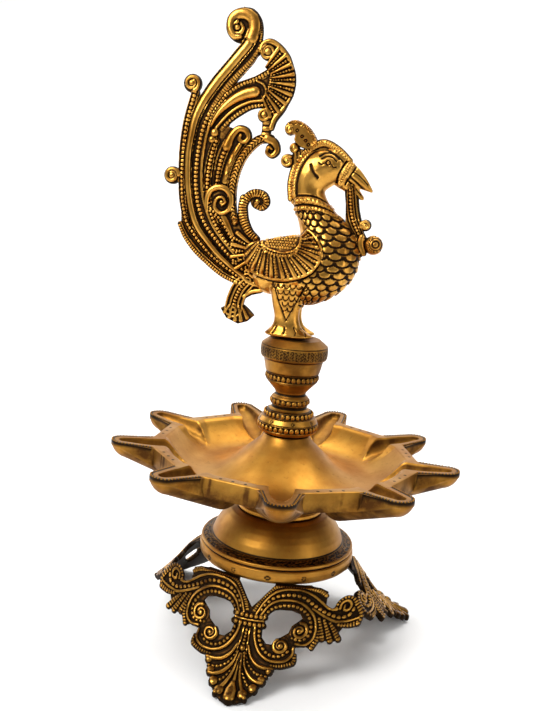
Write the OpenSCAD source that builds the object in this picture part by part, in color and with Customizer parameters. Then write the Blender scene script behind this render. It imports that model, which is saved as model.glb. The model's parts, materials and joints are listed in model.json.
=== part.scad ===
// Standing brass oil lamp: a peacock finial on a turned stem, a nine-spout oil bowl,
// a bell pedestal and three openwork legs. The whole lamp screws apart at three threads.

/* [Bowl] */
// Diameter across the spout tips
bowl_d = 260; // [256:1:264]
// Number of wick spouts
spout_count = 9; // [7:1:10]
// Turn of the first spout from the front
spout_turn = 7; // [0:1:7]
// Height of the rim above the floor
rim_z = 145; // [144:0.5:146]
// Distance from the axis to the flat outer wall between two spouts
wall_r = 98; // [96.5:0.5:99.5]
// Width of the rim's flat top
rim_w = 7.5; // [6:0.5:9]
// Width of a spout at its tip
spout_w = 20; // [18:0.5:22]
// Width of a spout's channel
channel_w = 13; // [10:0.5:14]

/* [Pedestal] */
// Radius of the bell's flange
flange_r = 58.9; // [58:0.1:60]
// Height of the flange's lower face
flange_z = 61.5; // [61:0.5:62]
// Height of the bell's top face, where the bowl's foot ring sits
bell_top_z = 97.8; // [97:0.1:98]
// Wall thickness of the bell
bell_wall = 4; // [3:0.5:4.5]

/* [Legs] */
// Turn of the front leg from the front
leg_turn = -4; // [-6:1:6]
// Reach of a leg's toes from the axis
leg_reach = 119; // [117:1:121]
// Half thickness of a leg casting
leg_half_t = 2.6; // [2:0.1:3]

/* [Stem] */
// Radius of the knop's bead row
knop_r = 22.8; // [22:0.1:24]
// Radius of the stippled band at the top of the stem
band_r = 25; // [24:0.1:26]
// Height of the seat where the finial screws on
seat_z = 224.2; // [223:0.1:225]

/* [Peacock] */
// Thickness of the tail casting
tail_t = 6; // [5:0.5:7]
// Half width of the body across the wings
body_half_w = 21; // [19:0.5:23]
// Height of the plinth's top, where the feet stand
plinth_z = 229.6; // [229:0.1:230]

/* [Threads] */
// Radius of the pedestal screw, which holds the bowl
bowl_screw_r = 6; // [5:0.5:7]
// Radius of the stem screw and of the finial screw
stem_screw_r = 5; // [4:0.5:6]
// Running clearance of every screw and bush, on the radius
clearance = 0.05; // [0.03:0.01:0.08]

/* [Hidden] */
$fn = 96;

foot_ring_z = 104;
stem_screw_foot = 130;
spout_rim_z = rim_z + 1.4;
cone_top_z = 156.5;
knop_top_z = 177.3;
baluster_top_z = 197.2;
spout_step = 360 / spout_count;
spout_tip_r = bowl_d / 2;
rod_r = 4;
bush_wall = 4;
rivet_r = 1.5;
rivet_turn = 28;
rivet_ring_r = 53.5;
mesh_fn = 20;

// ---- Curves and strokes ----

function unit(v) = v / norm(v);

// One point of the smooth curve through a list, in the span that follows point i
function curve_point(p, i, u) =
  let (n = len(p) - 1)
  let (a = p[max(i - 1, 0)], b = p[i], c = p[i + 1], d = p[min(i + 2, n)])
  0.5 * (2 * b + (c - a) * u + (2 * a - 5 * b + 4 * c - d) * u * u
    + (3 * b - a - 3 * c + d) * u * u * u);

function smooth(p, steps) = concat(
  [for (i = [0 : len(p) - 2], k = [0 : steps - 1]) curve_point(p, i, k / steps)],
  [p[len(p) - 1]]
);

function heading(path, i) = unit(path[min(i + 1, len(path) - 1)] - path[max(i - 1, 0)]);

// A band of metal along a curve. section lists [share of the width, height off the surface],
// and place turns a point of the surface and a height into a point in space.
module stroke(points, start_w, end_w, section, place, steps = 2) {
  path = smooth(points, steps);
  rings = len(path);
  sides = len(section);
  corners = [
    for (i = [0 : rings - 1], c = section)
      let (d = heading(path, i), w = start_w + (end_w - start_w) * i / (rings - 1))
        place(path[i] + [-d.y, d.x] * w * c.x, c.y)
  ];
  walls = [
    for (i = [0 : rings - 2], k = [0 : sides - 1])
      let (a = i * sides + k, b = i * sides + (k + 1) % sides)
        each [[a, b + sides, b], [a, a + sides, b + sides]]
  ];
  first = [for (k = [0 : sides - 1]) k];
  last = [for (k = [sides - 1 : -1 : 0]) (rings - 1) * sides + k];
  polyhedron(corners, concat(walls, [first, last]));
}

// A round boss standing on a surface, for the eye of a scroll
module boss(centre, r, low, high, place) {
  sides = 14;
  rim = [for (k = [0 : sides - 1]) centre + r * [cos(360 * k / sides), sin(360 * k / sides)]];
  corners = concat(
    [for (p = rim) place(p, low)],
    [for (p = rim) place(centre + (p - centre) * 0.8, high)],
    [place(centre, low), place(centre, high)]
  );
  faces = [
    for (k = [0 : sides - 1])
      let (n = (k + 1) % sides)
        each [
          [k, n, sides + k],
          [n, sides + n, sides + k],
          [n, k, 2 * sides],
          [sides + k, sides + n, 2 * sides + 1]
        ]
  ];
  polyhedron(corners, faces);
}

// ---- Legs ----

// Side view of a leg as [distance from the axis, height], from the flange to the toes
leg_line = [[57, 62], [74, 39], [88, 11.5], [leg_reach, 1.4]];
leg_length = 88;
leg_half_width = 73;
leg_wrap = 26;
tie_section = [[-0.5, -leg_half_t], [-0.5, leg_half_t + 1.5], [0.5, leg_half_t + 1.5], [0.5, -leg_half_t]];

function leg_curve(u) =
  leg_line[0] * pow(1 - u, 3) + leg_line[1] * 3 * u * pow(1 - u, 2)
  + leg_line[2] * 3 * u * u * (1 - u) + leg_line[3] * pow(u, 3);

function leg_normal(u) = let (d = unit(leg_curve(u + 0.01) - leg_curve(u - 0.01))) [-d.y, d.x];

// p is [distance beside the leg's middle, distance down its face]. The casting wraps back at
// its wings, and less so towards the toes.
on_leg = function (p, h)
  let (c = leg_curve(p.y / leg_length), n = leg_normal(p.y / leg_length))
  let (wrap = leg_wrap * pow(p.x / leg_half_width, 2) * min(1, max(0, c.y / 50)))
  [p.x, -(c.x + h * n.x - wrap), max(0, c.y + h * n.y)];

// Right half of the casting's edge and its right hole, as [beside the middle, down the face]
leg_edge = [
  [0, 19], [4, 14], [9, 7], [13, 2], [13, -3], [38, -3], [39, 0], [44, 1], [50, 4], [50, 13],
  [53, 17], [57, 15], [58, 11], [62, 8], [67, 9], [71, 14], [76, 22], [75, 27], [64, 28],
  [62, 31], [63, 36], [57, 37], [51, 36], [46, 43], [42, 41], [34, 42], [36, 48], [37, 54],
  [30, 55], [24, 57], [23, 61], [20, 65], [19, 69], [15, 77], [10, 83], [6, 86], [0, 88]
];
leg_hole = [
  [11, 24], [15, 19], [21, 18], [28, 18], [34, 20], [36, 23], [30, 28], [28.5, 33], [22, 38],
  [19, 42], [15, 42], [11, 38], [10, 31], [11, 24]
];
leg_view = 40;

// A point of the face as it lies in the plane that the casting is cut along
function leg_flat(p) = let (c = on_leg(p, 0)) [c.x, c.y * cos(leg_view) + c.z * sin(leg_view)];

function mirrored(p) = [for (i = [len(p) - 1 : -1 : 0]) [-p[i].x, p[i].y]];

module leg_outline() {
  difference() {
    polygon([for (p = concat(leg_edge, mirrored(leg_edge))) leg_flat(p)]);
    for (hole = [leg_hole, mirrored(leg_hole)])
      polygon([for (p = smooth(hole, 2)) leg_flat(p)]);
  }
}

// Curved sheet that the casting is cut from
module leg_sheet() {
  columns = 12;
  rows = 12;
  spot = function (i, j) [(i / columns - 0.5) * 160, -6 + j * 97 / rows];
  row_size = columns + 1;
  face_size = row_size * (rows + 1);
  corners = [
    for (h = [leg_half_t, -leg_half_t], j = [0 : rows], i = [0 : columns]) on_leg(spot(i, j), h)
  ];
  cells = [
    for (j = [0 : rows - 1], i = [0 : columns - 1])
      let (a = j * row_size + i, b = a + 1, c = a + row_size, d = c + 1, f = face_size)
        each [[a, b, d], [a, d, c], [f + a, f + d, f + b], [f + a, f + c, f + d]]
  ];
  sides = [
    for (j = [0 : rows - 1])
      let (a = j * row_size, b = a + columns, f = face_size)
        each [
          [a, a + row_size, f + a + row_size, f + a],
          [b, f + b, f + b + row_size, b + row_size]
        ]
  ];
  ends = [
    for (i = [0 : columns - 1])
      let (a = i, b = rows * row_size + i, f = face_size)
        each [[a, f + a, f + a + 1, a + 1], [b, b + 1, f + b + 1, f + b]]
  ];
  polyhedron(corners, concat(cells, sides, ends));
}

// Raised scroll eyes on one side of the casting
module leg_scrolls(s) {
  for (eye = [[36, 33, 7], [26.5, 43, 7], [64, 15, 5.5]])
    boss([s * eye.x, eye.y], eye.z, 0, leg_half_t + 1.2, on_leg);
}

module toe(side, down, r) {
  hull() {
    translate(on_leg([side * 0.4, 56], leg_half_t - 1)) sphere(r = 1.8, $fn = 8);
    translate(on_leg([side, down], 0.4)) sphere(r = r, $fn = 12);
  }
}

module leg_lug() {
  for (s = [-1, 1])
    rotate([0, 0, -90 + s * rivet_turn - 12])
      rotate_extrude(angle = 24)
        translate([46, flange_z - 4.5]) square([14, 4.4]);
}

// Third of the round that one leg keeps to, so that its wings stop where the next leg's begin
module leg_third() {
  half = 59.97;
  linear_extrude(400, center = true)
    polygon([[0, 0], 400 * [-sin(half), -cos(half)], 400 * [sin(half), -cos(half)]]);
}

module leg(turn) {
  seat_gap = 0.02;
  pad_r = 8;
  rotate([0, 0, turn])
    difference() {
      union() {
        intersection() {
          leg_sheet();
          rotate([leg_view, 0, 0]) linear_extrude(400, center = true) leg_outline();
          leg_third();
        }
        // Pad under the toes, filed flat
        translate([0, -106, 0]) cylinder(r = pad_r, h = 4, $fn = mesh_fn);
        for (s = [-1, 1])
          leg_scrolls(s);
        stroke([[-11, 27], [0, 28.5], [11, 27]], 7, 7, tie_section, on_leg, 2);
        toe(0, 84, 3.4);
        for (s = [-1, 1], t = [[8, 80.5, 2.8], [14, 74, 2.5], [18.5, 66, 2.4], [22.5, 58.5, 2.2]])
          toe(s * t.x, t.y, t.z);
        leg_lug();
      }
      translate([-100, -150, flange_z - seat_gap]) cube([200, 200, 20]);
      translate([-100, -150, -20]) cube([200, 200, 20]);
      for (s = [-1, 1])
        rotate([0, 0, s * rivet_turn])
          translate([0, -rivet_ring_r, flange_z - 6])
            cylinder(r = rivet_r + clearance, h = 8, $fn = mesh_fn);
    }
}

module leg_front() {
  color("darkgoldenrod") leg(leg_turn);
}

module leg_right() {
  color("darkgoldenrod") leg(leg_turn + 120);
}

module leg_left() {
  color("darkgoldenrod") leg(leg_turn + 240);
}

// Six rivets hold the legs' lugs under the bell's flange
module leg_rivets() {
  head_r = 3;
  head_h = 1.6;
  color("peru")
    for (leg_index = [0 : 2], s = [-1, 1])
      rotate([0, 0, leg_turn + 120 * leg_index + s * rivet_turn])
        translate([0, -rivet_ring_r, flange_z - 4.5]) {
          translate([0, 0, -head_h]) cylinder(r1 = rivet_r, r2 = head_r, h = head_h, $fn = 32);
          cylinder(r = rivet_r, h = 7, $fn = 32);
        }
}

// ---- Pedestal ----

module pedestal_bell() {
  lip_z = flange_z + 10.5;
  outside = [
    [bowl_screw_r, bell_top_z], [33, bell_top_z], [37, bell_top_z - 1.2], [40.4, 93.6], [43.4, 90],
    [46.2, 86], [48.2, 82], [49.8, 77.2], [55.8, 76], [57.4, 74], [58, lip_z], [57.2, lip_z - 1.6],
    [58.4, lip_z - 2.6], [flange_r, lip_z - 5], [flange_r - 0.3, flange_z + 2], [57.4, flange_z]
  ];
  inside = [
    [49.5, flange_z], [49.5, flange_z + 5], [53, flange_z + 8], [51.5, 72], [46, 73.5],
    [48.2 - bell_wall, 81], [43.4 - bell_wall, 88], [37 - bell_wall, 92.5],
    [15, bell_top_z - bell_wall], [bowl_screw_r, bell_top_z - bell_wall]
  ];
  color("goldenrod")
    difference() {
      rotate_extrude() polygon(concat(outside, inside));
      for (leg_index = [0 : 2], s = [-1, 1])
        rotate([0, 0, leg_turn + 120 * leg_index + s * rivet_turn])
          translate([0, -rivet_ring_r, flange_z - 1]) cylinder(r = rivet_r, h = 3.5, $fn = 32);
    }
}

// Screw fixed in the bell: its head bears under the bell's top, and the bowl screws onto it
module pedestal_screw() {
  head_z = bell_top_z - bell_wall;
  color("peru") {
    translate([0, 0, head_z - 4]) cylinder(r = 12, h = 4);
    translate([0, 0, head_z]) cylinder(r = bowl_screw_r, h = bell_wall);
    translate([0, 0, bell_top_z]) cylinder(r = bowl_screw_r, h = 13);
  }
}

// ---- Bowl ----

bowl_bush_r = bowl_screw_r + clearance + bush_wall;
bowl_bush_top = bell_top_z + 14;

// Threaded bush let into the bowl's foot
module bowl_bush() {
  color("peru")
    translate([0, 0, bell_top_z])
      difference() {
        cylinder(r = bowl_bush_r, h = bowl_bush_top - bell_top_z);
        translate([0, 0, -1])
          cylinder(r = bowl_screw_r + clearance, h = bowl_bush_top - bell_top_z + 2);
      }
}

// Bright ring brazed under the bowl, which seats on the bell
module bowl_foot_ring() {
  color("gold")
    rotate_extrude()
      polygon([
        [18, bell_top_z], [31, bell_top_z], [32.6, 99.5], [32.2, 101.5], [34, foot_ring_z],
        [18, foot_ring_z]
      ]);
}

// A trough laid along a spout: round below and straight-sided above, with a round tip.
// root and tip are [distance from the axis, height] of the middle of its round bottom.
module trough(root, tip, root_r, tip_r) {
  run = tip - root;
  length = norm(run);
  top = 30;
  side_inset = 0.2;
  translate([0, -root.x, root.y])
    rotate([90 - atan2(run.y, run.x), 0, 0]) {
      cylinder(r1 = root_r, r2 = tip_r, h = length);
      translate([0, 0, length]) sphere(r = tip_r);
      rotate([90, 0, 0])
        translate([0, 0, -top])
          linear_extrude(top) {
            polygon([
              [side_inset - root_r, 0], [root_r - side_inset, 0], [tip_r - side_inset, length],
              [side_inset - tip_r, length]
            ]);
            translate([0, length]) circle(r = tip_r - side_inset);
          }
    }
}

module each_spout() {
  for (k = [0 : spout_count - 1])
    rotate([0, 0, spout_turn + k * spout_step]) children();
}

// Prism with one flat side between each two spouts
module rim_prism(inner_r, low, high) {
  corner_r = inner_r / cos(180 / spout_count);
  corners = [for (k = [0 : spout_count - 1]) corner_r * [sin(k * spout_step), -cos(k * spout_step)]];
  rotate([0, 0, spout_turn])
    translate([0, 0, low]) linear_extrude(high - low) polygon(corners);
}

module bowl() {
  tip_r = spout_w / 2;
  channel_r = channel_w / 2;
  spout_root = [70, 132.4];
  spout_root_r = 20;
  underside = [
    [0, foot_ring_z], [34, foot_ring_z], [38, 109.5], [46, 115], [60, 119.5], [80, 125],
    [wall_r - 1, 131.5], [wall_r + 8, 133]
  ];
  well_floor = [
    [17.3, cone_top_z], [19.7, 152.2], [25.7, 146.6], [31.7, 141.3], [40.4, 134.5],
    [49.3, 129.6], [57, 127.3], [66, 126.9], [73, 129.3], [80, 134.6], [85, 139.6], [88, 143.2]
  ];
  above = [[wall_r + 6, rim_z + 8], [wall_r + 6, rim_z + 30], [0, rim_z + 30]];
  color("darkgoldenrod")
    difference() {
      union() {
        intersection() {
          rotate_extrude()
            polygon(concat(
              underside,
              [[wall_r + 8, rim_z], [30, rim_z], [17.3, cone_top_z], [0, cone_top_z]]
            ));
          rim_prism(wall_r, foot_ring_z - 1, cone_top_z + 1);
        }
        // Spouts, with rounded roots, up to the plane of the rim
        intersection() {
          each_spout() {
            trough(spout_root, [spout_tip_r - tip_r, spout_rim_z - 3], spout_root_r, tip_r);
            translate([0, -spout_root.x, spout_root.y]) sphere(r = spout_root_r);
          }
          rotate_extrude()
            polygon([
              [45, 100], [spout_tip_r + 5, 100], [spout_tip_r + 5, spout_rim_z + 0.2],
              [wall_r, rim_z], [45, rim_z - 5]
            ]);
        }
      }
      intersection() {
        rotate_extrude()
          polygon(concat([[0, cone_top_z + 1], [17.3, cone_top_z + 1]], well_floor, above));
        rim_prism(wall_r - rim_w, foot_ring_z, cone_top_z + 40);
      }
      each_spout()
        trough([62, 136], [spout_tip_r - tip_r - 1.5, spout_rim_z], channel_r + 3, channel_r - 0.5);
      translate([0, 0, foot_ring_z - 1])
        cylinder(r = bowl_bush_r + clearance, h = bowl_bush_top + clearance - foot_ring_z + 1);
      translate([0, 0, stem_screw_foot]) cylinder(r = stem_screw_r, h = 40);
    }
}

// ---- Stem ----

stem_bush_r = stem_screw_r + clearance + 3;
stem_bush_top = 168.5;

// Screw fixed in the bowl's cone, which the stem screws onto
module stem_screw() {
  color("peru") {
    translate([0, 0, stem_screw_foot]) cylinder(r = stem_screw_r, h = cone_top_z - stem_screw_foot);
    translate([0, 0, cone_top_z]) cylinder(r = stem_screw_r, h = 11.5);
  }
}

module stem_bush() {
  color("peru")
    translate([0, 0, cone_top_z])
      difference() {
        cylinder(r = stem_bush_r, h = stem_bush_top - cone_top_z);
        translate([0, 0, -1])
          cylinder(r = stem_screw_r + clearance, h = stem_bush_top - cone_top_z + 2);
      }
}

// Turned knop at the foot of the stem, with two bead rows
module stem_knop() {
  pocket_r = stem_bush_r + clearance;
  pocket_top = stem_bush_top + clearance;
  color("darkgoldenrod")
    rotate_extrude()
      polygon([
        [pocket_r, cone_top_z], [17.3, cone_top_z], [17.6, 158], [19.9, 158.4], [21.8, 160.2],
        [knop_r, 162.6], [knop_r, 164.8], [22.3, 167], [19.7, 171.5], [16.8, 175.5], [14.2, 176.6],
        [13.5, knop_top_z], [rod_r, knop_top_z], [rod_r, pocket_top], [pocket_r, pocket_top]
      ]);
}

// Rod peened at both ends, which ties the knop, the baluster and the cup together
module stem_tie_rod() {
  color("peru") {
    translate([0, 0, stem_bush_top + clearance]) cylinder(r = rod_r, h = 211.5 - stem_bush_top);
    translate([0, 0, 211.5 + clearance]) cylinder(r1 = rod_r + 1.5, r2 = rod_r, h = 1.5);
  }
}

module stem_baluster() {
  color("goldenrod")
    rotate_extrude()
      polygon([
        [rod_r, knop_top_z], [13.4, knop_top_z], [13.4, 178.6], [14.4, 180], [14.9, 181.6],
        [14.9, 183.4], [14.2, 184.9], [12.2, 186.2], [11.3, 188], [11.9, 190], [13.8, 192.2],
        [18.4, baluster_top_z], [rod_r, baluster_top_z]
      ]);
}

// Cup at the top of the stem: bead row, plain barrel and stippled band
module stem_cup() {
  pocket_r = stem_bush_r;
  color("goldenrod")
    rotate_extrude()
      polygon([
        [rod_r, baluster_top_z], [18.4, baluster_top_z], [19.4, 198.4], [19.8, 200.6],
        [19.4, 202.6], [20.2, 203.4], [20.4, 206], [21.6, 211.6], [22, 213.6], [24.2, 215.4],
        [24.8, 217], [band_r, 219.5], [24.7, seat_z], [pocket_r, seat_z], [pocket_r, 211.5],
        [rod_r, 211.5]
      ]);
}

// Threaded bush fixed in the cup, which takes the finial's screw
module finial_bush() {
  color("peru")
    translate([0, 0, 213.1])
      difference() {
        cylinder(r = stem_bush_r, h = seat_z - 213.1);
        translate([0, 0, -1]) cylinder(r = stem_screw_r + clearance, h = seat_z - 211);
      }
}

// ---- Finial ----

finial_screw_top = 228;

module finial_screw() {
  color("peru")
    translate([0, 0, seat_z - 10.8]) cylinder(r = stem_screw_r, h = finial_screw_top - seat_z + 10.8);
}

module finial_plinth() {
  pocket_r = stem_screw_r + clearance;
  pocket_top = finial_screw_top + clearance;
  color("goldenrod")
    rotate_extrude()
      polygon([
        [pocket_r, seat_z], [24.6, seat_z], [24.6, seat_z + 0.5], [18.5, plinth_z], [0, plinth_z],
        [0, pocket_top], [pocket_r, pocket_top]
      ]);
}

module ellipsoid(centre, radii) {
  translate(centre) scale(radii) sphere(r = 1, $fn = mesh_fn);
}

// Hulls between each two neighbours of a list of [centre, radii]
module chain(blobs) {
  for (i = [0 : len(blobs) - 2])
    hull() {
      ellipsoid(blobs[i][0], blobs[i][1]);
      ellipsoid(blobs[i + 1][0], blobs[i + 1][1]);
    }
}

module bird_leg(side) {
  hull() {
    ellipsoid([-8, side * 8, 266], [13, 9, 9]);
    ellipsoid([-7, side * 7, 246], [9.5, 6.5, 7]);
  }
  hull() {
    ellipsoid([-7, side * 7, 246], [9.5, 6.5, 7]);
    translate([-7, side * 7, plinth_z + 4]) scale([1, 0.6, 1]) cylinder(r = 12, h = 2, $fn = mesh_fn);
  }
  hull() {
    translate([-5, side * 7.5, plinth_z]) scale([1, 0.5, 1]) cylinder(r = 17, h = 3, $fn = mesh_fn);
    translate([-6, side * 7, plinth_z + 6]) scale([1, 0.6, 1]) cylinder(r = 11, h = 1, $fn = mesh_fn);
  }
}

module bird_body() {
  w = body_half_w;
  color("darkgoldenrod")
    difference() {
      union() {
        chain([
          [[-31, 0, 284], [9, 9, 14]],
          [[-24, 0, 279], [12, 12, 18]],
          [[-14, 0, 281], [18, w - 4, 21]],
          [[4, 0, 281], [23, w - 1, 26]],
          [[17, 0, 288], [23.5, w - 2, 22]],
          [[17, 0, 302], [20, w - 5, 14]],
          [[8, 0, 317], [14.5, 12.5, 10]],
          [[1, 0, 329], [14, 11.5, 8]],
          [[-1, 0, 340], [12.5, 10.5, 8]],
          [[5, 0, 352.5], [16, 11.5, 13.5]],
          [[13, 0, 355.5], [14.5, 11, 12.5]]
        ]);
        // Upper and lower beak
        chain([[[21, 0, 353], [8, 7, 8]], [[28, 0, 350], [5, 5, 6]], [[43.5, 0, 340.3], [1.2, 1, 1]]]);
        chain([[[25, 0, 344], [5, 4, 5]], [[37, 0, 335.3], [1.6, 1.6, 2]]]);
        // Milled band over the head and down the nape
        stroke(
          [[26, 356], [19, 365], [9, 370], [0, 367], [-7, 360], [-12, 351], [-13.5, 340], [-12, 329]],
          5, 5, [[-0.5, -3], [-0.5, 3], [0.5, 2], [0.5, -2]], on_tail
        );
        // Folded wings
        for (side = [-1, 1])
          hull() {
            ellipsoid([-22, side * (w - 7), 289], [15, 4, 13]);
            ellipsoid([1, side * (w - 3), 288], [14, 4.5, 18]);
          }
        for (side = [-1, 1])
          bird_leg(side);
      }
      // Slot that takes the tail's tenon
      translate([-60, -tail_t / 2 - clearance, 262]) cube([32, tail_t + 2 * clearance, 60]);
      rotate([90, 0, 0])
        for (z = [273, 291])
          translate([-33, z, 0]) cylinder(r = rivet_r + clearance, h = 60, center = true, $fn = mesh_fn);
    }
}

// The tail lies in the plane of the bird: x forward, z up, and h to its side
on_tail = function (p, h) [p.x, h, p.y];
half_tail = tail_t / 2;
web_t = 3.2;
rib = [
  [-0.5, -1.6], [-0.5, 1.6], [-0.3, half_tail], [0.3, half_tail], [0.5, 1.6], [0.5, -1.6],
  [0.3, -half_tail], [-0.3, -half_tail]
];

// Flat round eye of a scroll, bevelled on both faces
module scroll_eye(x, z, r) {
  translate([x, 0, z])
    rotate([90, 0, 0])
      hull() {
        cylinder(r = r, h = tail_t - 2, center = true, $fn = mesh_fn);
        cylinder(r = r - 1.5, h = tail_t + 1, center = true, $fn = mesh_fn);
      }
}

module bird_tail() {
  edge_feather = [[-40, 268], [-46, 268], [-58, 272], [-70, 279], [-80, 287], [-88, 296], [-91.5, 304]];
  outer_feather = [
    [-36, 272], [-54, 277], [-66, 285], [-76, 294], [-84, 304], [-89, 316], [-92, 330],
    [-93, 345], [-93, 360], [-92, 375], [-90, 388], [-88, 398]
  ];
  main_plume = [
    [-36, 278], [-52, 282], [-64, 292], [-74, 304], [-81, 318], [-85, 335], [-86, 352], [-85, 370],
    [-80, 388], [-72, 403], [-62, 417], [-53, 428], [-48, 438], [-48, 448]
  ];
  bead_plume = [[-82, 365], [-77, 381], [-69, 396], [-60, 408], [-51, 419], [-44, 429]];
  second_plume = [
    [-36, 284], [-48, 290], [-58, 300], [-66, 311], [-72, 324], [-76, 340], [-77, 356],
    [-74, 371], [-67, 383], [-57, 393], [-45, 402]
  ];
  beaded_feather = [
    [-36, 290], [-47, 298], [-56, 308], [-62, 320], [-67, 333], [-69, 347], [-68, 360], [-62, 369]
  ];
  scroll_feather = [[-50, 302], [-57, 318], [-60, 335], [-62, 350], [-60, 361], [-55, 370]];
  arch_feather = [
    [-38, 292], [-46, 303], [-51, 317], [-54, 331], [-54, 345], [-50, 357], [-45, 366], [-37, 370],
    [-30, 368]
  ];
  curl = [[-30, 296], [-38, 300], [-43, 309], [-45, 319], [-44, 327], [-37, 330]];
  drooping_feather = [[-34, 270], [-42, 264], [-47, 256], [-48, 246]];
  // Solid plate that the feathers stand out from
  web = [
    [-44, 266], [-58, 272], [-70, 280], [-80, 288], [-88, 297], [-92, 304], [-93, 315], [-95, 335],
    [-96, 360], [-93, 376], [-88, 394], [-81, 401], [-74, 411], [-66, 423], [-58, 434], [-48, 444],
    [-43, 437], [-43, 428], [-50, 421], [-58, 412], [-63, 406], [-55, 409], [-45, 413], [-34, 420],
    [-33, 393], [-40, 393], [-47, 392], [-55, 387], [-60, 382], [-62, 377], [-55, 375], [-46, 368],
    [-46, 362], [-50, 350], [-53, 340], [-54, 330], [-52, 318], [-46, 308], [-36, 299], [-28, 292],
    [-28, 260], [-35, 258], [-41, 254]
  ];
  color("darkgoldenrod") {
    stroke(edge_feather, 8, 5, rib, on_tail);
    stroke(outer_feather, 8, 7, rib, on_tail);
    stroke(main_plume, 8, 9, rib, on_tail);
    stroke(bead_plume, 7, 7, rib, on_tail);
    stroke(second_plume, 8, 20, rib, on_tail);
    stroke(beaded_feather, 8, 9, rib, on_tail);
    stroke(scroll_feather, 8, 8, rib, on_tail);
    stroke(arch_feather, 9, 8, rib, on_tail);
    stroke(curl, 9, 8, rib, on_tail);
    stroke(drooping_feather, 12, 15, rib, on_tail);
    rotate([90, 0, 0]) linear_extrude(web_t, center = true) polygon(web);
    stroke([[-57, 246], [-45, 241.5], [-33, 243.5]], 8, 8, rib, on_tail);
    stroke([[-35, 371], [-35, 384]], 8, 8, rib, on_tail);
    // Fan at the tip of the second plume
    rotate([90, 0, 0])
      linear_extrude(tail_t - 1, center = true)
        polygon(concat(
          [for (a = [-66 : 6 : 62]) [-44.5, 409.5] + 28.5 * [cos(a), sin(a)]],
          [for (a = [62 : -16 : -66]) [-44.5, 409.5] + 10 * [cos(a), sin(a)]]
        ));
    scroll_eye(-57.5, 446, 12);
    scroll_eye(-90.5, 405, 7);
    scroll_eye(-101, 339.5, 6.8);
    scroll_eye(-52, 372, 7.2);
    scroll_eye(-37, 430, 6.6);
    scroll_eye(-36.5, 386.5, 5.6);
    scroll_eye(-30.5, 364, 6.8);
    scroll_eye(-64.5, 325, 10.5);
    scroll_eye(-35.5, 327, 7.5);
    // Tenon that goes into the body
    translate([-46, -half_tail, 268]) cube([18, tail_t, 28]);
  }
}

// Two rivets through the body and the tail's tenon
module tail_rivets() {
  color("peru")
    rotate([90, 0, 0])
      for (z = [273, 291])
        translate([-33, z, 0]) cylinder(r = rivet_r, h = 15, center = true, $fn = mesh_fn);
}

// Leaf crest with two scroll knobs behind the head
module bird_crest() {
  leaf = [[-4, 368], [-9, 374], [-13, 379]];
  crest_section = [
    [-0.5, -1.5], [-0.5, 1.5], [-0.3, 2.6], [0.3, 2.6], [0.5, 1.5], [0.5, -1.5], [0.3, -2.6],
    [-0.3, -2.6]
  ];
  color("gold") {
    stroke(leaf, 12, 13, crest_section, on_tail);
    for (eye = [[-3, 370, 4.8], [-13, 377.5, 6], [-17, 376.5, 4.2], [-12.5, 365, 3.8], [-16.5, 356, 5]])
      translate([eye.x, 0, eye.y])
        rotate([90, 0, 0])
          hull() {
            cylinder(r = eye.z, h = 4.4, center = true, $fn = mesh_fn);
            cylinder(r = eye.z - 1.2, h = 6.4, center = true, $fn = mesh_fn);
          }
    for (z = [[-9, 360], [-8, 368], [-12, 371]])
      translate([z.x, 0, z.y])
        rotate([90, 0, 0])
          hull() {
            cylinder(r = 4.5, h = 4, center = true, $fn = mesh_fn);
            cylinder(r = 3.5, h = 5, center = true, $fn = mesh_fn);
          }
  }
}

// Beaded garland hanging from the beak to a round knob on the breast
module bird_garland() {
  strap = [[29, 341], [31, 330], [33, 319], [38, 310], [43, 304]];
  section = [
    [-0.5, -3], [-0.5, 3], [-0.35, 4], [0.35, 4], [0.5, 3], [0.5, -3], [0.35, -4], [-0.35, -4]
  ];
  color("darkgoldenrod") {
    stroke(strap, 8, 10, section, on_tail);
    ellipsoid([41.5, 0, 315.5], [4.4, 4, 4.4]);
    ellipsoid([49.5, 0, 302.5], [7, 7, 7]);
    hull() {
      ellipsoid([38, 0, 302], [5, 4.5, 6]);
      ellipsoid([45, 0, 301.5], [4, 5, 5]);
    }
  }
}

leg_front();
leg_right();
leg_left();
leg_rivets();
pedestal_bell();
pedestal_screw();
bowl_bush();
bowl_foot_ring();
bowl();
stem_screw();
stem_bush();
stem_knop();
stem_tie_rod();
stem_baluster();
stem_cup();
finial_bush();
finial_screw();
finial_plinth();
bird_body();
bird_tail();
tail_rivets();
bird_crest();
bird_garland();
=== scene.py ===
"""Looks of the standing brass oil lamp: castings, turned parts, materials, light and camera.

Lengths in the shape code are millimetres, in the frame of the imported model: the axis of the lamp is
x = y = 0, z is up, and the bird stands in the plane y = 0 and looks along +x. Camera and lights
are placed in metres.
"""

import json
import math

import bmesh
import bpy
import numpy as np
from mathutils import Matrix, Vector

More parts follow.
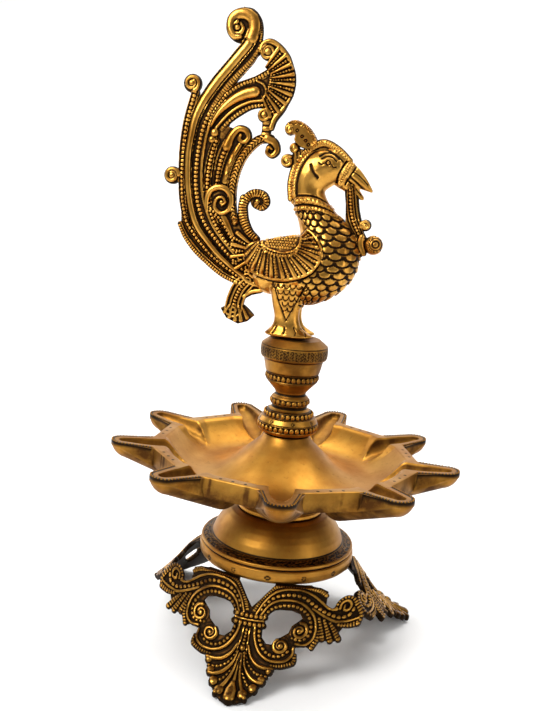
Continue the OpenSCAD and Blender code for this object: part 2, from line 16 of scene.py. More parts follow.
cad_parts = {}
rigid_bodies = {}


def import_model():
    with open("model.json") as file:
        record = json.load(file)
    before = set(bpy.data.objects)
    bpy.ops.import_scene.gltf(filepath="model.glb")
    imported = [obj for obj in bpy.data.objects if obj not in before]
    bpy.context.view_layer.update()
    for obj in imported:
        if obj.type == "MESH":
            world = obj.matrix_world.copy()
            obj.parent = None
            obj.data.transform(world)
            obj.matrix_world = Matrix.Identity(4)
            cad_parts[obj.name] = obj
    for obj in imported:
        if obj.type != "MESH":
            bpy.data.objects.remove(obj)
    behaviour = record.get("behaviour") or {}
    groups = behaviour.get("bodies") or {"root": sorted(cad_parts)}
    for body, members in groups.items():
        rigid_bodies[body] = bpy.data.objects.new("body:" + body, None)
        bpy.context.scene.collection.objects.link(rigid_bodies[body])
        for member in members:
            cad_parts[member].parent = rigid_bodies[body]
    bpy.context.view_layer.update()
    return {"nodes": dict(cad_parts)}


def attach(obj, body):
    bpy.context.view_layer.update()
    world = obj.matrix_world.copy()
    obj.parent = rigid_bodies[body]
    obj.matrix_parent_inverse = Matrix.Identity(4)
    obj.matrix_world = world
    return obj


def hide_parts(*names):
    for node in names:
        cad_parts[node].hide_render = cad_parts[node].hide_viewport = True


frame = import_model()
MM = 0.001
scene_objects = bpy.context.scene.collection.objects

# ---------------------------------------------------------------- camera and studio

CAMERA_PLACE = (0.07856, -0.63982, 0.33708)
YAW, PITCH, ROLL = math.radians(-8.8), math.radians(10.77), math.radians(4.97)
LENS, SENSOR = 44.78, 36


def make_camera():
    """Camera where the photo's stood, tilted as the photo is."""
    forward = Vector((
        math.sin(YAW) * math.cos(PITCH), math.cos(YAW) * math.cos(PITCH), -math.sin(PITCH)
    ))
    level = Vector((math.cos(YAW), -math.sin(YAW), 0))
    up = level.cross(forward)
    right = math.cos(ROLL) * level + math.sin(ROLL) * up
    top = -math.sin(ROLL) * level + math.cos(ROLL) * up
    data = bpy.data.cameras.new("camera")
    data.lens = LENS
    data.sensor_width = SENSOR
    data.clip_start = 0.05
    camera = bpy.data.objects.new("camera", data)
    turn = Matrix((right, top, -forward)).transposed().to_4x4()
    camera.matrix_world = Matrix.Translation(CAMERA_PLACE) @ turn
    scene_objects.link(camera)
    bpy.context.scene.camera = camera


def area_light(name, place, target, size, power):
    data = bpy.data.lights.new(name, "AREA")
    data.shape = "RECTANGLE"
    data.size, data.size_y = size
    data.energy = power
    light = bpy.data.objects.new(name, data)
    light.location = place
    aim = Vector(target) - Vector(place)
    light.rotation_euler = aim.to_track_quat("-Z", "Y").to_euler()
    scene_objects.link(light)


def make_studio():
    """Soft lights round the lamp, one on the backdrop, and a grey surround that pales upward."""
    middle = (0, 0, 0.2)
    area_light("key_light", (-0.55, -0.75, 0.85), middle, (0.45, 0.6), 12)
    area_light("fill_light", (0.95, -0.45, 0.45), middle, (0.2, 0.9), 2.2)
    area_light("top_light", (0.1, 0.15, 1.2), middle, (0.6, 0.6), 3)
    area_light("rim_light", (-0.9, 0.5, 0.5), middle, (0.4, 0.8), 3)
    area_light("backdrop_light", (0, 0.8, 2.5), (0, 1.8, 0.4), (3.0, 1.2), 52)
    world = bpy.data.worlds.new("studio")
    world.use_nodes = True
    nodes, links = world.node_tree.nodes, world.node_tree.links
    where = nodes.new("ShaderNodeTexCoord")
    way = nodes.new("ShaderNodeSeparateXYZ")
    links.new(where.outputs["Generated"], way.inputs["Vector"])
    ramp = nodes.new("ShaderNodeValToRGB")
    links.new(way.outputs["Z"], ramp.inputs["Fac"])
    stops = ((0.0, (0.12, 0.115, 0.11, 1)), (0.9, (0.5, 0.5, 0.5, 1)))
    for element, (position, colour) in zip(ramp.color_ramp.elements, stops):
        element.position = position
        element.color = colour
    links.new(ramp.outputs["Color"], nodes["Background"].inputs["Color"])
    bpy.context.scene.world = world
    bpy.context.scene.view_settings.view_transform = "Standard"


def make_floor():
    """Pale floor that sweeps up behind the lamp."""
    edge, front, bend, radius, top = 4.0, -3.0, 0.9, 1.0, 4.5
    angle = np.linspace(0, math.pi / 2, 25)
    sweep = [(bend + radius * math.sin(a), radius - radius * math.cos(a)) for a in angle]
    outline = [(front, 0)] + sweep + [(bend + radius, top)]
    points = [(x, y, z) for y, z in outline for x in (-edge, edge)]
    faces = [(2 * k, 2 * k + 1, 2 * k + 3, 2 * k + 2) for k in range(len(outline) - 1)]
    mesh = bpy.data.meshes.new("floor")
    mesh.from_pydata(points, [], faces)
    mesh.shade_smooth()
    floor = bpy.data.objects.new("floor", mesh)
    scene_objects.link(floor)
    material = bpy.data.materials.new("pale_floor")
    material.use_nodes = True
    shader = material.node_tree.nodes["Principled BSDF"]
    shader.inputs["Base Color"].default_value = (0.92, 0.92, 0.915, 1)
    shader.inputs["Roughness"].default_value = 0.9
    shader.inputs["Specular IOR Level"].default_value = 0.1
    mesh.materials.append(material)


# ---------------------------------------------------------------- meshes

CREASE = math.radians(40)


def make_piece(name, part, material, body, nodes, tarnish_and_shade=None):
    """One piece from (points in millimetres, faces, recesses), as the look of CAD nodes.

    Recess runs from 0 to 1 in a groove, and the tarnish layer from 0 on bright metal to 1; on the bowl that
    layer also holds painted shade.
    """
    points, faces, recess = part
    points = np.asarray(points, float)
    mesh = bpy.data.meshes.new(name)
    mesh.vertices.add(len(points))
    mesh.vertices.foreach_set("co", (points * MM).astype(np.float32).ravel())
    sizes = [len(f) for f in faces]
    corners = np.concatenate(faces)
    mesh.loops.add(len(corners))
    mesh.loops.foreach_set("vertex_index", corners.astype(np.int32))
    starts = np.concatenate([[0], np.cumsum(sizes)[:-1]]).astype(np.int32)
    mesh.polygons.add(len(sizes))
    mesh.polygons.foreach_set("loop_start", starts)
    mesh.polygons.foreach_set("loop_total", np.array(sizes, np.int32))
    for label, values in (("recess", recess), ("tarnish_and_shade", tarnish_and_shade)):
        if values is not None:
            layer = mesh.attributes.new(label, "FLOAT", "POINT")
            layer.data.foreach_set("value", np.broadcast_to(values, len(points)).astype(np.float32))
    mesh.update(calc_edges=True)
    mesh.validate()
    mesh.shade_smooth()
    mesh.set_sharp_from_angle(angle=CREASE)
    mesh.materials.append(material)
    piece = bpy.data.objects.new(name, mesh)
    scene_objects.link(piece)
    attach(piece, body)
    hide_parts(*nodes)
    return piece


def joined(parts):
    """Several (points, faces) as one."""
    points, faces, start = [], [], 0
    for p, f in parts:
        points.append(np.asarray(p, float))
        faces.extend([tuple(int(i) + start for i in face) for face in f])
        start += len(p)
    return np.vstack(points), faces


def grid_faces(rows, columns, wrap=False):
    """Quads of a grid of points stored row by row. wrap closes each row on itself."""
    across = columns if wrap else columns - 1
    j, i = np.meshgrid(np.arange(rows - 1), np.arange(across), indexing="ij")
    k = (i + 1) % columns
    corners = [j * columns + i, j * columns + k, (j + 1) * columns + k, (j + 1) * columns + i]
    return np.stack(corners, -1).reshape(-1, 4)


def round_angles(count):
    return np.arange(count) * 2 * math.pi / count


def curve_through(points, per_span=6):
    """Smooth curve through a list of points, as an array."""
    p = np.asarray(points, float)
    p = np.vstack([2 * p[0] - p[1], p, 2 * p[-1] - p[-2]])
    u = np.linspace(0, 1, per_span, endpoint=False)[:, None]
    spans = [
        0.5 * (2 * b + (c - a) * u + (2 * a - 5 * b + 4 * c - d) * u**2 + (3 * b - a - 3 * c + d) * u**3)
        for a, b, c, d in zip(p, p[1:], p[2:], p[3:])
    ]
    return np.vstack(spans + [p[-2:-1]])


def softened(profile, radius):
    """A profile whose corners are rounded off."""
    steps = 3
    p = np.asarray(profile, float)
    out = [p[0]]
    for a, b, c in zip(p, p[1:], p[2:]):
        before, after = np.linalg.norm(a - b), np.linalg.norm(c - b)
        start = b + (a - b) * min(0.45, radius / before)
        end = b + (c - b) * min(0.45, radius / after)
        for u in np.linspace(0, 1, steps + 1):
            out.append(start * (1 - u) ** 2 + 2 * b * u * (1 - u) + end * u**2)
    out.append(p[-1])
    return np.array(out)


def lathe(profile, sides, step, soften, grooves=(), stamps=None):
    """Closed ring of revolution with grooves, as points, faces and recesses.

    The profile is a closed loop of (distance from the axis, height). grooves are (height, half
    width, depth) on the outside, and stamps(angle, z, r) gives the height and the recess of marks
    struck into it.
    """
    p = np.asarray(profile, float)
    after = np.roll(p, -1, 0)
    if np.sum(p[:, 0] * after[:, 1] - after[:, 0] * p[:, 1]) < 0:
        p = p[::-1]
    p = softened(np.vstack([p, p[:1]]), soften)[:-1]
    fine = []
    for a, b in zip(p, np.roll(p, -1, 0)):
        count = max(1, int(np.ceil(np.linalg.norm(b - a) / step)))
        fine += [a + (b - a) * k / count for k in range(count)]
    p = np.array(fine)
    along = np.roll(p, -1, 0) - np.roll(p, 1, 0)
    along /= np.maximum(np.linalg.norm(along, axis=1, keepdims=True), 1e-9)
    out = np.stack([along[:, 1], -along[:, 0]], -1)
    outside = out[:, :1] > 0.05
    r, z = p[:, :1], p[:, 1:]
    angle = round_angles(sides)[None, :]
    height, recess = np.zeros((len(p), sides)), np.zeros((len(p), sides))
    for place, half, depth in grooves:
        share = np.exp(-((z - place) / half) ** 2) * outside
        height -= share * depth
        recess = np.maximum(recess, share)
    if stamps:
        rise, dark = stamps(angle, z, r)
        height = height + rise * outside
        recess = np.maximum(recess, dark * outside)
    r = r + height * out[:, :1]
    z = z + height * out[:, 1:]
    points = np.stack([r * np.cos(angle), r * np.sin(angle), z], -1).reshape(-1, 3)
    faces = grid_faces(len(p) + 1, sides, wrap=True) % len(points)
    return points, faces, recess.ravel()


def rosettes(z, slope_r, count, size, start):
    """Flower punched with a ring of petals round a boss, repeated round the axis."""
    def stamp(angle, height, r):
        pitch = 2 * math.pi / count
        x = ((angle - start + pitch / 2) % pitch - pitch / 2) * slope_r
        y = np.hypot(height - z, r - slope_r) * np.sign(height - z + 1e-9)
        distance = np.hypot(x, y)
        petals = 0.5 + 0.5 * np.cos(6 * np.arctan2(y, x))
        ring = np.exp(-((distance - size * 0.62) / (size * 0.22)) ** 2) * (0.45 + 0.55 * petals)
        rim = np.exp(-((distance - size * 1.05) / (size * 0.16)) ** 2)
        return -0.35 * ring - 0.2 * rim, np.clip(ring + 0.7 * rim, 0, 1)
    return stamp


def with_beads(part, *rows):
    """A lathe part with bead rows joined on; the beads stand clear of the dirt."""
    points, faces, recess = part
    all_points, all_faces = joined([(points, faces), *rows])
    return all_points, all_faces, np.pad(recess, (0, len(all_points) - len(points)))


def ball(sides, rings):
    """Unit ball of quads and triangles."""
    polar = np.linspace(0, math.pi, rings + 1)[1:-1, None]
    angle = round_angles(sides)
    body = np.stack([
        np.sin(polar) * np.cos(angle), np.sin(polar) * np.sin(angle), np.repeat(np.cos(polar), sides, 1)
    ], -1).reshape(-1, 3)
    points = np.vstack([[[0, 0, 1]], body, [[0, 0, -1]]])
    faces = [(0, 1 + i, 1 + (i + 1) % sides) for i in range(sides)]
    for row in grid_faces(rings - 1, sides, wrap=True):
        faces.append(tuple(1 + k for k in (row[0], row[3], row[2], row[1])))
    last = len(points) - 1
    foot = last - sides
    faces += [(last, foot + (i + 1) % sides, foot + i) for i in range(sides)]
    return points, faces


BEAD = ball(10, 7)


def bead_ring(radius, z, count, size):
    """Ring of beads round the axis. size is (out from the surface, along the ring, up)."""
    parts = []
    for angle in round_angles(count):
        c, s = math.cos(angle), math.sin(angle)
        turn = np.array([[c, s, 0], [-s, c, 0], [0, 0, 1]]) * np.array(size)[:, None]
        parts.append((BEAD[0] @ turn + [radius * c, radius * s, z], BEAD[1]))
    return joined(parts)


# ---------------------------------------------------------------- relief castings

def rib(at, share, height):
    """Smooth round rib along a stroke; place and width are shares of the stroke's half width."""
    return lambda s, side, half: height * np.sqrt(np.clip(1 - ((side / half - at) / share) ** 2, 0, 1))


def bead_row(at, share, height, pitch):
    """Row of beads along a stroke."""
    def shape(s, side, half):
        x = (side / half - at) / share
        y = ((s % pitch) - pitch / 2) / (pitch * 0.47)
        return height * np.sqrt(np.clip(1 - x**2 - y**2, 0, 1))
    return shape


def rope(at, share, height, pitch, lean=0.0):
    """Rib with notches filed across it."""
    def shape(s, side, half):
        x = (side / half - at) / share
        notch = np.abs(np.sin(math.pi * (s + lean * np.abs(side)) / pitch)) ** 0.9
        return height * np.sqrt(np.clip(1 - x**2, 0, 1)) * (0.3 + 0.7 * notch)
    return shape


BORDERS = [rib(-0.86, 0.16, 1.0), rib(0.86, 0.16, 1.0)]


def box_blur(values, reach):
    """Mean over a square of 2 reach + 1 cells a side."""
    for axis in (0, 1):
        total = np.moveaxis(np.cumsum(values, axis), axis, 0)
        size = len(total)
        start, end = np.zeros((reach + 1, total.shape[1])), np.repeat(total[-1:], reach, 0)
        total = np.concatenate([start, total, end])
        values = np.moveaxis((total[2 * reach + 1:] - total[:size]) / (2 * reach + 1), 0, axis)
    return values


def cell_table():
    """Polygon and cut edges of a grid cell for each set of corners inside the metal."""
    table = {}
    for case in range(1, 16):
        walk = []
        for k in range(4):
            here, after = case >> k & 1, case >> (k + 1) % 4 & 1
            if here:
                walk.append(("corner", k))
            if here != after:
                walk.append(("edge", k))
        cuts = [
            (a[1], b[1]) for a, b in zip(walk, walk[1:] + walk[:1]) if a[0] == b[0] == "edge"
        ]
        table[case] = (walk, cuts)
    return table


OUTSIDE = -9.0


class Casting:
    """Relief on a sheet: heights over a grid of points, cut out where cover falls to zero.

    Cover is the distance in from the metal's edge.
    """

    def __init__(self, low, high, step):
        self.step = step
        self.x = np.arange(low[0], high[0] + step, step)
        self.y = np.arange(low[1], high[1] + step, step)
        self.cover = np.full((len(self.y), len(self.x)), OUTSIDE)
        self.height = np.zeros_like(self.cover)

    def window(self, low, high):
        """Rows and columns of the grid between two corners."""
        first = [int((low[k] - axis[0]) / self.step) for k, axis in enumerate((self.x, self.y))]
        last = [int((high[k] - axis[0]) / self.step) + 2 for k, axis in enumerate((self.x, self.y))]
        return slice(max(first[1], 0), max(last[1], 0)), slice(max(first[0], 0), max(last[0], 0))

    def along(self, path, reach):
        """Distance to a path, length along it and signed side, for the grid points within reach."""
        near = np.full(self.cover.shape, 1e3)
        run, side = np.zeros_like(near), np.zeros_like(near)
        start = 0.0
        for a, b in zip(path, path[1:]):
            d = b - a
            length = np.hypot(*d)
            if length < 1e-6:
                continue
            part = self.window(np.minimum(a, b) - reach, np.maximum(a, b) + reach)
            x, y = self.x[None, part[1]] - a[0], self.y[part[0], None] - a[1]
            t = np.clip((x * d[0] + y * d[1]) / length**2, 0, 1)
            distance = np.hypot(x - t * d[0], y - t * d[1])
            closer = distance < near[part]
            near[part][closer] = distance[closer]
            run[part][closer] = (start + t * length)[closer]
            side[part][closer] = np.where(d[0] * y - d[1] * x >= 0, distance, -distance)[closer]
            start += length
        return near, run, side

    def add(self, cover, height):
        inside = cover > 0
        self.height[inside] = np.maximum(self.height[inside], height[inside])
        self.cover = np.maximum(self.cover, cover)

    def stroke(self, points, widths, marks, base, per_span=6):
        """Band along a smooth curve. widths are spread evenly from its start to its end, and marks
        are the ribs and rows that stand on its base."""
        path = curve_through(points, per_span)
        length = np.hypot(*np.diff(path, axis=0).T).sum()
        near, run, side = self.along(path, max(widths) / 2 + 1)
        half = np.maximum(np.interp(run, np.linspace(0, length, len(widths)), widths) / 2, 0.2)
        height = base * np.ones_like(near)
        for mark in marks:
            height = np.maximum(height, base + mark(run, side, half))
        self.add(half - near, height)

    def disc(self, centre, radius, height, dome=0.0):
        part = self.window(np.array(centre) - radius - 1, np.array(centre) + radius + 1)
        distance = np.hypot(self.x[None, part[1]] - centre[0], self.y[part[0], None] - centre[1])
        cover = np.full(self.cover.shape, OUTSIDE)
        cover[part] = radius - distance
        heights = np.zeros_like(cover)
        heights[part] = height + dome * np.sqrt(np.clip(1 - (distance / radius) ** 2, 0, 1))
        self.add(cover, heights)

    def scroll(self, centre, radius, start, turns, band, height, base, eye):
        """Spiral volute. start is the angle in degrees where the band comes in, the sign of turns
        is the way it winds, and eye is the middle's share of the radius."""
        self.disc(centre, radius - 0.4, base)
        share = np.linspace(0, 1, max(8, int(abs(turns) * 12)))
        angle = math.radians(start) + 2 * math.pi * turns * share
        reach = (radius - band / 2) * (1 - share) + radius * eye * share
        path = np.stack([centre[0] + reach * np.cos(angle), centre[1] + reach * np.sin(angle)], -1)
        self.stroke(path, [band, band * 0.75], [rib(0, 1, height)], base, 3)
        self.disc(centre, radius * eye, base + height * 0.5, height * 0.7)

    def patch(self, outline, height):
        """Flat area inside a closed outline."""
        outline = np.asarray(outline, float)
        loop = np.vstack([outline, outline[:1]])
        near = self.along(loop, 4.0)[0]
        x, y = self.x[None, :], self.y[:, None]
        inside = np.zeros(self.cover.shape, bool)
        for a, b in zip(loop, loop[1:]):
            if a[1] == b[1]:
                continue
            crosses = (a[1] > y) != (b[1] > y)
            inside ^= crosses & (x < (b[0] - a[0]) * (y - a[1]) / (b[1] - a[1]) + a[0])
        cover = np.where(inside, np.minimum(near, 4.0), -np.minimum(near, -OUTSIDE))
        self.add(cover, height * np.ones_like(cover))
        return cover

    def hole(self, outline):
        cover, height = self.cover.copy(), self.height.copy()
        inside = self.patch(outline, 0)
        self.cover, self.height = np.minimum(cover, -inside), height

    def carve(self, points, width, depth, per_span=6):
        """Groove with a round floor along a smooth curve."""
        near = self.along(curve_through([tuple(p) for p in points], per_span), width)[0]
        self.height -= depth * np.sqrt(np.clip(1 - (near / (width / 2)) ** 2, 0, 1))

    def sampled(self, values, x, y):
        """Values of the grid between its points."""
        u = np.clip((x - self.x[0]) / self.step, 0, len(self.x) - 1.001)
        v = np.clip((y - self.y[0]) / self.step, 0, len(self.y) - 1.001)
        i, j = u.astype(int), v.astype(int)
        u, v = u - i, v - j
        low = values[j, i] * (1 - u) + values[j, i + 1] * u
        high = values[j + 1, i] * (1 - u) + values[j + 1, i + 1] * u
        return low * (1 - v) + high * v

    def recesses(self, offset):
        """How far each point lies below what is round it, from 0 on a ridge to 1 in a groove. Flat
        metal gets offset / 0.75."""
        metal = (self.cover > 0).astype(float)
        reach = max(1, int(1.6 / self.step))
        mean = box_blur(self.height * metal, reach) / np.maximum(box_blur(metal, reach), 0.05)
        mean = np.maximum(mean, 0.5 * self.height)
        return np.clip((mean + offset - self.height) / 0.75, 0, 1)

    def mesh(self, place, thickness, back=True, offset=0.3):
        """Points, faces and recesses. place(x, y, h) turns the sheet into space; the back has the
        same relief, or is plain."""
        edge_round, plain_recess = 0.9, 0.72
        level, shape = self.cover.ravel(), self.cover.shape
        fall = np.sqrt(np.clip(1 - (1 - np.clip(level / edge_round, 0, 1)) ** 2, 0, 1))
        front = thickness / 2 * 0.6 + (self.height.ravel() + thickness / 2 * 0.4) * fall
        rear = front if back else thickness / 2 * (0.6 + 0.4 * fall)
        recess = self.recesses(offset).ravel()
        gx, gy = np.meshgrid(self.x, self.y)
        xy = np.stack([gx.ravel(), gy.ravel()], -1)
        index = np.arange(level.size).reshape(shape)

        # A new point where the edge of the metal crosses each line of the grid
        a = np.concatenate([index[:, :-1].ravel(), index[:-1].ravel()])
        b = np.concatenate([index[:, 1:].ravel(), index[1:].ravel()])
        step = level[a] - level[b]
        t = np.where(step != 0, level[a] / np.where(step == 0, 1, step), 0.5)
        xy = np.vstack([xy, xy[a] * (1 - t[:, None]) + xy[b] * t[:, None]])
        recess = np.concatenate([recess, recess[a] * (1 - t) + recess[b] * t])
        edge_height = np.full(len(a), thickness / 2 * 0.6)
        front, rear = np.concatenate([front, edge_height]), np.concatenate([rear, edge_height])
        n_across = index[:, :-1].size
        across = level.size + np.arange(n_across).reshape(shape[0], -1)
        up = level.size + n_across + np.arange(len(a) - n_across).reshape(-1, shape[1])

        corners = [index[:-1, :-1], index[:-1, 1:], index[1:, 1:], index[1:, :-1]]
        edges = [across[:-1], up[:, 1:], across[1:], up[:, :-1]]
        case = sum((level[corners[k]] > 0).astype(int) << k for k in range(4))
        faces, walls = [], []
        for number, (walk, cuts) in cell_table().items():
            chosen = case == number
            ids = [(corners if kind == "corner" else edges)[k][chosen] for kind, k in walk]
            for k in range(1, len(ids) - 1):
                faces.append(np.stack([ids[0], ids[k], ids[k + 1]], -1))
            for first, last in cuts:
                walls.append(np.stack([edges[first][chosen], edges[last][chosen]], -1))
        faces = np.vstack(faces)
        a, b = np.vstack(walls).T
        behind = len(xy)
        faces = np.vstack([
            faces, faces[:, ::-1] + behind,
            np.stack([b, a, a + behind], -1), np.stack([b, a + behind, b + behind], -1)
        ])
        used, new = np.unique(faces, return_inverse=True)
        x, y = np.vstack([xy, xy])[used].T
        heights = np.concatenate([front, -rear])[used]
        rear_recess = recess if back else np.full(behind, plain_recess)
        recess = np.concatenate([recess, rear_recess])[used]
        return place(x, y, heights), new.reshape(faces.shape), recess


# ---------------------------------------------------------------- materials

GOLD = (0.53, 0.265, 0.043)
YELLOW = (0.78, 0.52, 0.2)
RUBBED = (0.68, 0.35, 0.065)
ORANGE = (0.35, 0.14, 0.017)
BROWN = (0.085, 0.034, 0.008)
PATINA = (0.02, 0.011, 0.005)


class Metal:
    """A metal's shader and the nodes that feed it."""

    def __init__(self, name, roughness):
        self.material = bpy.data.materials.new(name)
        self.material.use_nodes = True
        self.tree = self.material.node_tree
        self.shader = self.tree.nodes["Principled BSDF"]
        self.shader.inputs["Metallic"].default_value = 1.0
        self.shader.inputs["Roughness"].default_value = roughness
        self.where = self.node("TexCoord").outputs["Object"]

    def feed(self, socket, value):
        """Links a socket's value, or sets a number or a colour."""
        if isinstance(value, bpy.types.NodeSocket):
            self.tree.links.new(value, socket)
        else:
            socket.default_value = (*value, 1) if isinstance(value, tuple) else value

    def node(self, kind, inputs=None, **settings):
        made = self.tree.nodes.new("ShaderNode" + kind)
        for label, value in settings.items():
            setattr(made, label, value)
        for socket, value in (inputs or {}).items():
            self.feed(made.inputs[socket], value)
        return made

    def noise(self, scale, detail, where=None):
        inputs = {"Vector": where or self.where, "Scale": scale, "Detail": detail, "Roughness": 0.6}
        return self.node("TexNoise", inputs).outputs["Fac"]

    def ranged(self, value, low, high, to_low=0.0, to_high=1.0):
        inputs = {
            "Value": value, "From Min": low, "From Max": high, "To Min": to_low, "To Max": to_high
        }
        return self.node("MapRange", inputs).outputs["Result"]

    def maths(self, operation, a, b=0.0):
        return self.node("Math", {0: a, 1: b}, operation=operation).outputs["Value"]

    def mixed(self, share, colour_a, colour_b):
        """The mix node's colour sockets, which share their names with those of other kinds."""
        return self.node("Mix", {0: share, 6: colour_a, 7: colour_b}, data_type="RGBA").outputs[2]

    def layer(self, name):
        return self.node("Attribute", attribute_name=name).outputs["Fac"]

    def corners(self, distance):
        """Ambient occlusion as a mask: 1 deep in a corner, falling to 0 in the open. What it darkens is
        painted shade.
        """
        corner = self.node("AmbientOcclusion", {"Distance": distance * MM}, samples=8)
        return self.ranged(corner.outputs["AO"], 0.75, 0.25)

    def bump(self, height, strength, distance):
        inputs = {"Strength": strength, "Distance": distance * MM, "Height": height}
        self.feed(self.shader.inputs["Normal"], self.node("Bump", inputs).outputs["Normal"])


def satin_brass(name):
    """Lathe-turned brass: fine rings round the axis, cloudy tarnish, dark dirt and painted shade in
    corners.
    """
    metal = Metal(name, 0.38)
    cloud = metal.noise(28, 5)
    tone = metal.mixed(metal.ranged(cloud, 0.35, 0.68), ORANGE, GOLD)
    # Corners go brown: painted shade from ambient occlusion, combined with dirt.
    dirt_and_shade = metal.maths("MULTIPLY", metal.corners(6), metal.ranged(cloud, 0.3, 0.6, 0.5, 1.0))
    spots = metal.ranged(metal.noise(320, 3), 0.60, 0.74, 0.0, 0.35)
    patches = metal.ranged(metal.noise(60, 6), 0.35, 0.62, 0.35, 1.2)
    # The tarnish layer: tarnish, and on the bowl also painted shade in the channels and underneath.
    aged_and_shaded = metal.maths("MULTIPLY", metal.layer("tarnish_and_shade"), patches)
    dirt_and_shade = metal.maths("MAXIMUM", metal.maths("MAXIMUM", dirt_and_shade, spots), aged_and_shaded)
    black = metal.ranged(metal.layer("recess"), 0.15, 0.6)
    colour = metal.mixed(black, metal.mixed(dirt_and_shade, tone, BROWN), PATINA)
    metal.feed(metal.shader.inputs["Base Color"], colour)
    rough = metal.ranged(cloud, 0.3, 0.7, 0.46, 0.32)
    rough = metal.maths("ADD", rough, metal.maths("MULTIPLY", dirt_and_shade, 0.25))
    metal.feed(metal.shader.inputs["Roughness"], rough)
    place = metal.node("SeparateXYZ", {"Vector": metal.where}).outputs
    squares = [metal.maths("POWER", place[axis], 2.0) for axis in "XY"]
    radius = metal.maths("SQRT", metal.maths("ADD", *squares))
    rings = metal.node("CombineXYZ", {"X": radius, "Y": place["Z"]}).outputs["Vector"]
    metal.bump(metal.noise(1500, 2, rings), 0.12, 0.2)
    return metal.material


def cast_brass(name, low, high, dark=0.0):
    """Antique casting: black patina in the recesses with painted shade in corners, rubbed metal between two
    colours on what stands proud. dark adds patina all over."""
    metal = Metal(name, 0.34)
    grain = metal.noise(420, 4)
    # Patina in the recesses, and ambient occlusion adding painted shade in corners.
    patina_and_shade = metal.maths("MAXIMUM", metal.layer("recess"), metal.corners(3))
    patina_and_shade = metal.maths("ADD", patina_and_shade, metal.ranged(grain, 0.3, 0.7, -0.12, 0.12))
    patina_and_shade = metal.ranged(patina_and_shade, 0.25 - dark, 0.66 - dark)
    tone = metal.mixed(metal.ranged(metal.noise(45, 4), 0.32, 0.6), low, high)
    half = metal.mixed(metal.ranged(patina_and_shade, 0.0, 0.55), tone, BROWN)
    colour = metal.mixed(metal.ranged(patina_and_shade, 0.45, 1.0), half, PATINA)
    metal.feed(metal.shader.inputs["Base Color"], colour)
    metal.feed(metal.shader.inputs["Roughness"], metal.ranged(patina_and_shade, 0.0, 1.0, 0.29, 0.65))
    metal.bump(grain, 0.25, 0.3)
    return metal.material


def plain_brass(name):
    """Machined yellow brass of screws, bushes and rivets."""
    metal = Metal(name, 0.35)
    cloud = metal.noise(90, 3)
    colour = metal.mixed(metal.ranged(cloud, 0.35, 0.65), ORANGE, YELLOW)
    metal.feed(metal.shader.inputs["Base Color"], colour)
    metal.feed(metal.shader.inputs["Roughness"], metal.ranged(cloud, 0.3, 0.7, 0.3, 0.45))
    threads = metal.node("TexWave", {"Vector": metal.where, "Scale": 125}, bands_direction="Z")
    metal.bump(threads.outputs["Fac"], 0.5, 0.5)
    return metal.material


make_camera()
make_studio()
make_floor()

SATIN = satin_brass("satin_brass")
CAST = cast_brass("cast_brass", ORANGE, RUBBED)
DARK_CAST = cast_brass("dark_cast_brass", BROWN, GOLD, 0.14)
PLAIN = plain_brass("plain_brass")

for node in frame["nodes"].values():
    node.data.materials.clear()
    node.data.materials.append(PLAIN)

# ---------------------------------------------------------------- bowl

SPOUTS = 9
SPOUT_TURN = math.radians(7)
HALF = math.pi / SPOUTS
WALL_R, RIM_Z = 98.0, 145.0
ROOT_T, ROOT_R, ROOT_Z = 70.0, 20.0, 132.4
TIP_T, TIP_R, TIP_Z = 119.6, 10.4, 143.4
CHANNEL_ROOT_T, CHANNEL_R, CHANNEL_TIP_R = 66.0, 9.0, 6.2
CHANNEL_ROOT_Z, CHANNEL_SLOPE = 126.9, 0.262
EDGE, FINE_EDGE, CHANNEL_EDGE = 0.5, 0.15, 0.12
N_CHANNEL, N_INSIDE, N_LAND = 7, 17, 11

WELL = curve_through([
    (17.3, 156.5), (19.7, 152.2), (25.7, 146.6), (31.7, 141.3), (40.4, 134.5), (49.3, 129.6),
    (57, 127.3), (66, 126.9), (73, 129.3), (80, 134.6), (85, 139.6), (88, 143.2), (90.3, 144.9)
])
UNDERSIDE = curve_through([(34, 104), (38, 109.5), (46, 115), (60, 119.5), (80, 125), (97, 131.5)])


def well_height(r):
    return np.where(r > WELL[-1, 0], RIM_Z, np.interp(r, WELL[:, 0], WELL[:, 1]))


def rim_height(t):
    """The rim rises a little along a spout."""
    rise, start, length = 1.4, 101, 29
    return RIM_Z + rise * np.clip((t - start) / length, 0, 1)


def spout_half(t):
    return np.interp(t, [0, 50, ROOT_T, TIP_T], [0, 13, ROOT_R, TIP_R])


def channel_floor(t):
    return CHANNEL_ROOT_Z + np.maximum(t - CHANNEL_ROOT_T, 0) * CHANNEL_SLOPE


def keel_height(t, d):
    """Underside of a spout: round, with a round root, rising along the spout."""
    stretch = 1.024
    centre = ROOT_Z + (TIP_Z - ROOT_Z) / (TIP_T - ROOT_T) * np.maximum(t - ROOT_T, 0)
    half = np.interp(t, [ROOT_T, TIP_T], [ROOT_R, TIP_R])
    behind = np.maximum(ROOT_T - t, 0)
    return centre - stretch * np.sqrt(np.maximum(half**2 - d**2 - behind**2, 0))


def row_place(radius, d, corner_d):
    """Distance along the spout's middle line of a row's point that lies d beside it."""
    round_r, square_r = 66, 88
    square = np.clip((radius - round_r) / (square_r - round_r), 0, 1)
    d = np.maximum(d, corner_d * square)
    round_row = np.sqrt(np.maximum(radius**2 - d**2, 0))
    flat_row = (radius - d * math.sin(HALF)) / math.cos(HALF)
    return round_row * (1 - square) + flat_row * square


def edge_place(radius):
    """Where a row meets the spout's edge, as the distance along the spout's middle line."""
    t = radius
    for _ in range(20):
        t = float(row_place(radius, spout_half(t), 0))
    return t


CORNER_T = edge_place(WALL_R)


def spout_rows():
    """Stations past the wall: down the spout's side, then round its tip, as (t, turn)."""
    straight = [(t, math.pi / 2) for t in np.linspace(CORNER_T, TIP_T, 11)[1:]]
    tip = [(TIP_T, a) for a in np.linspace(math.pi / 2, 0, 11)[1:]]
    return straight + tip


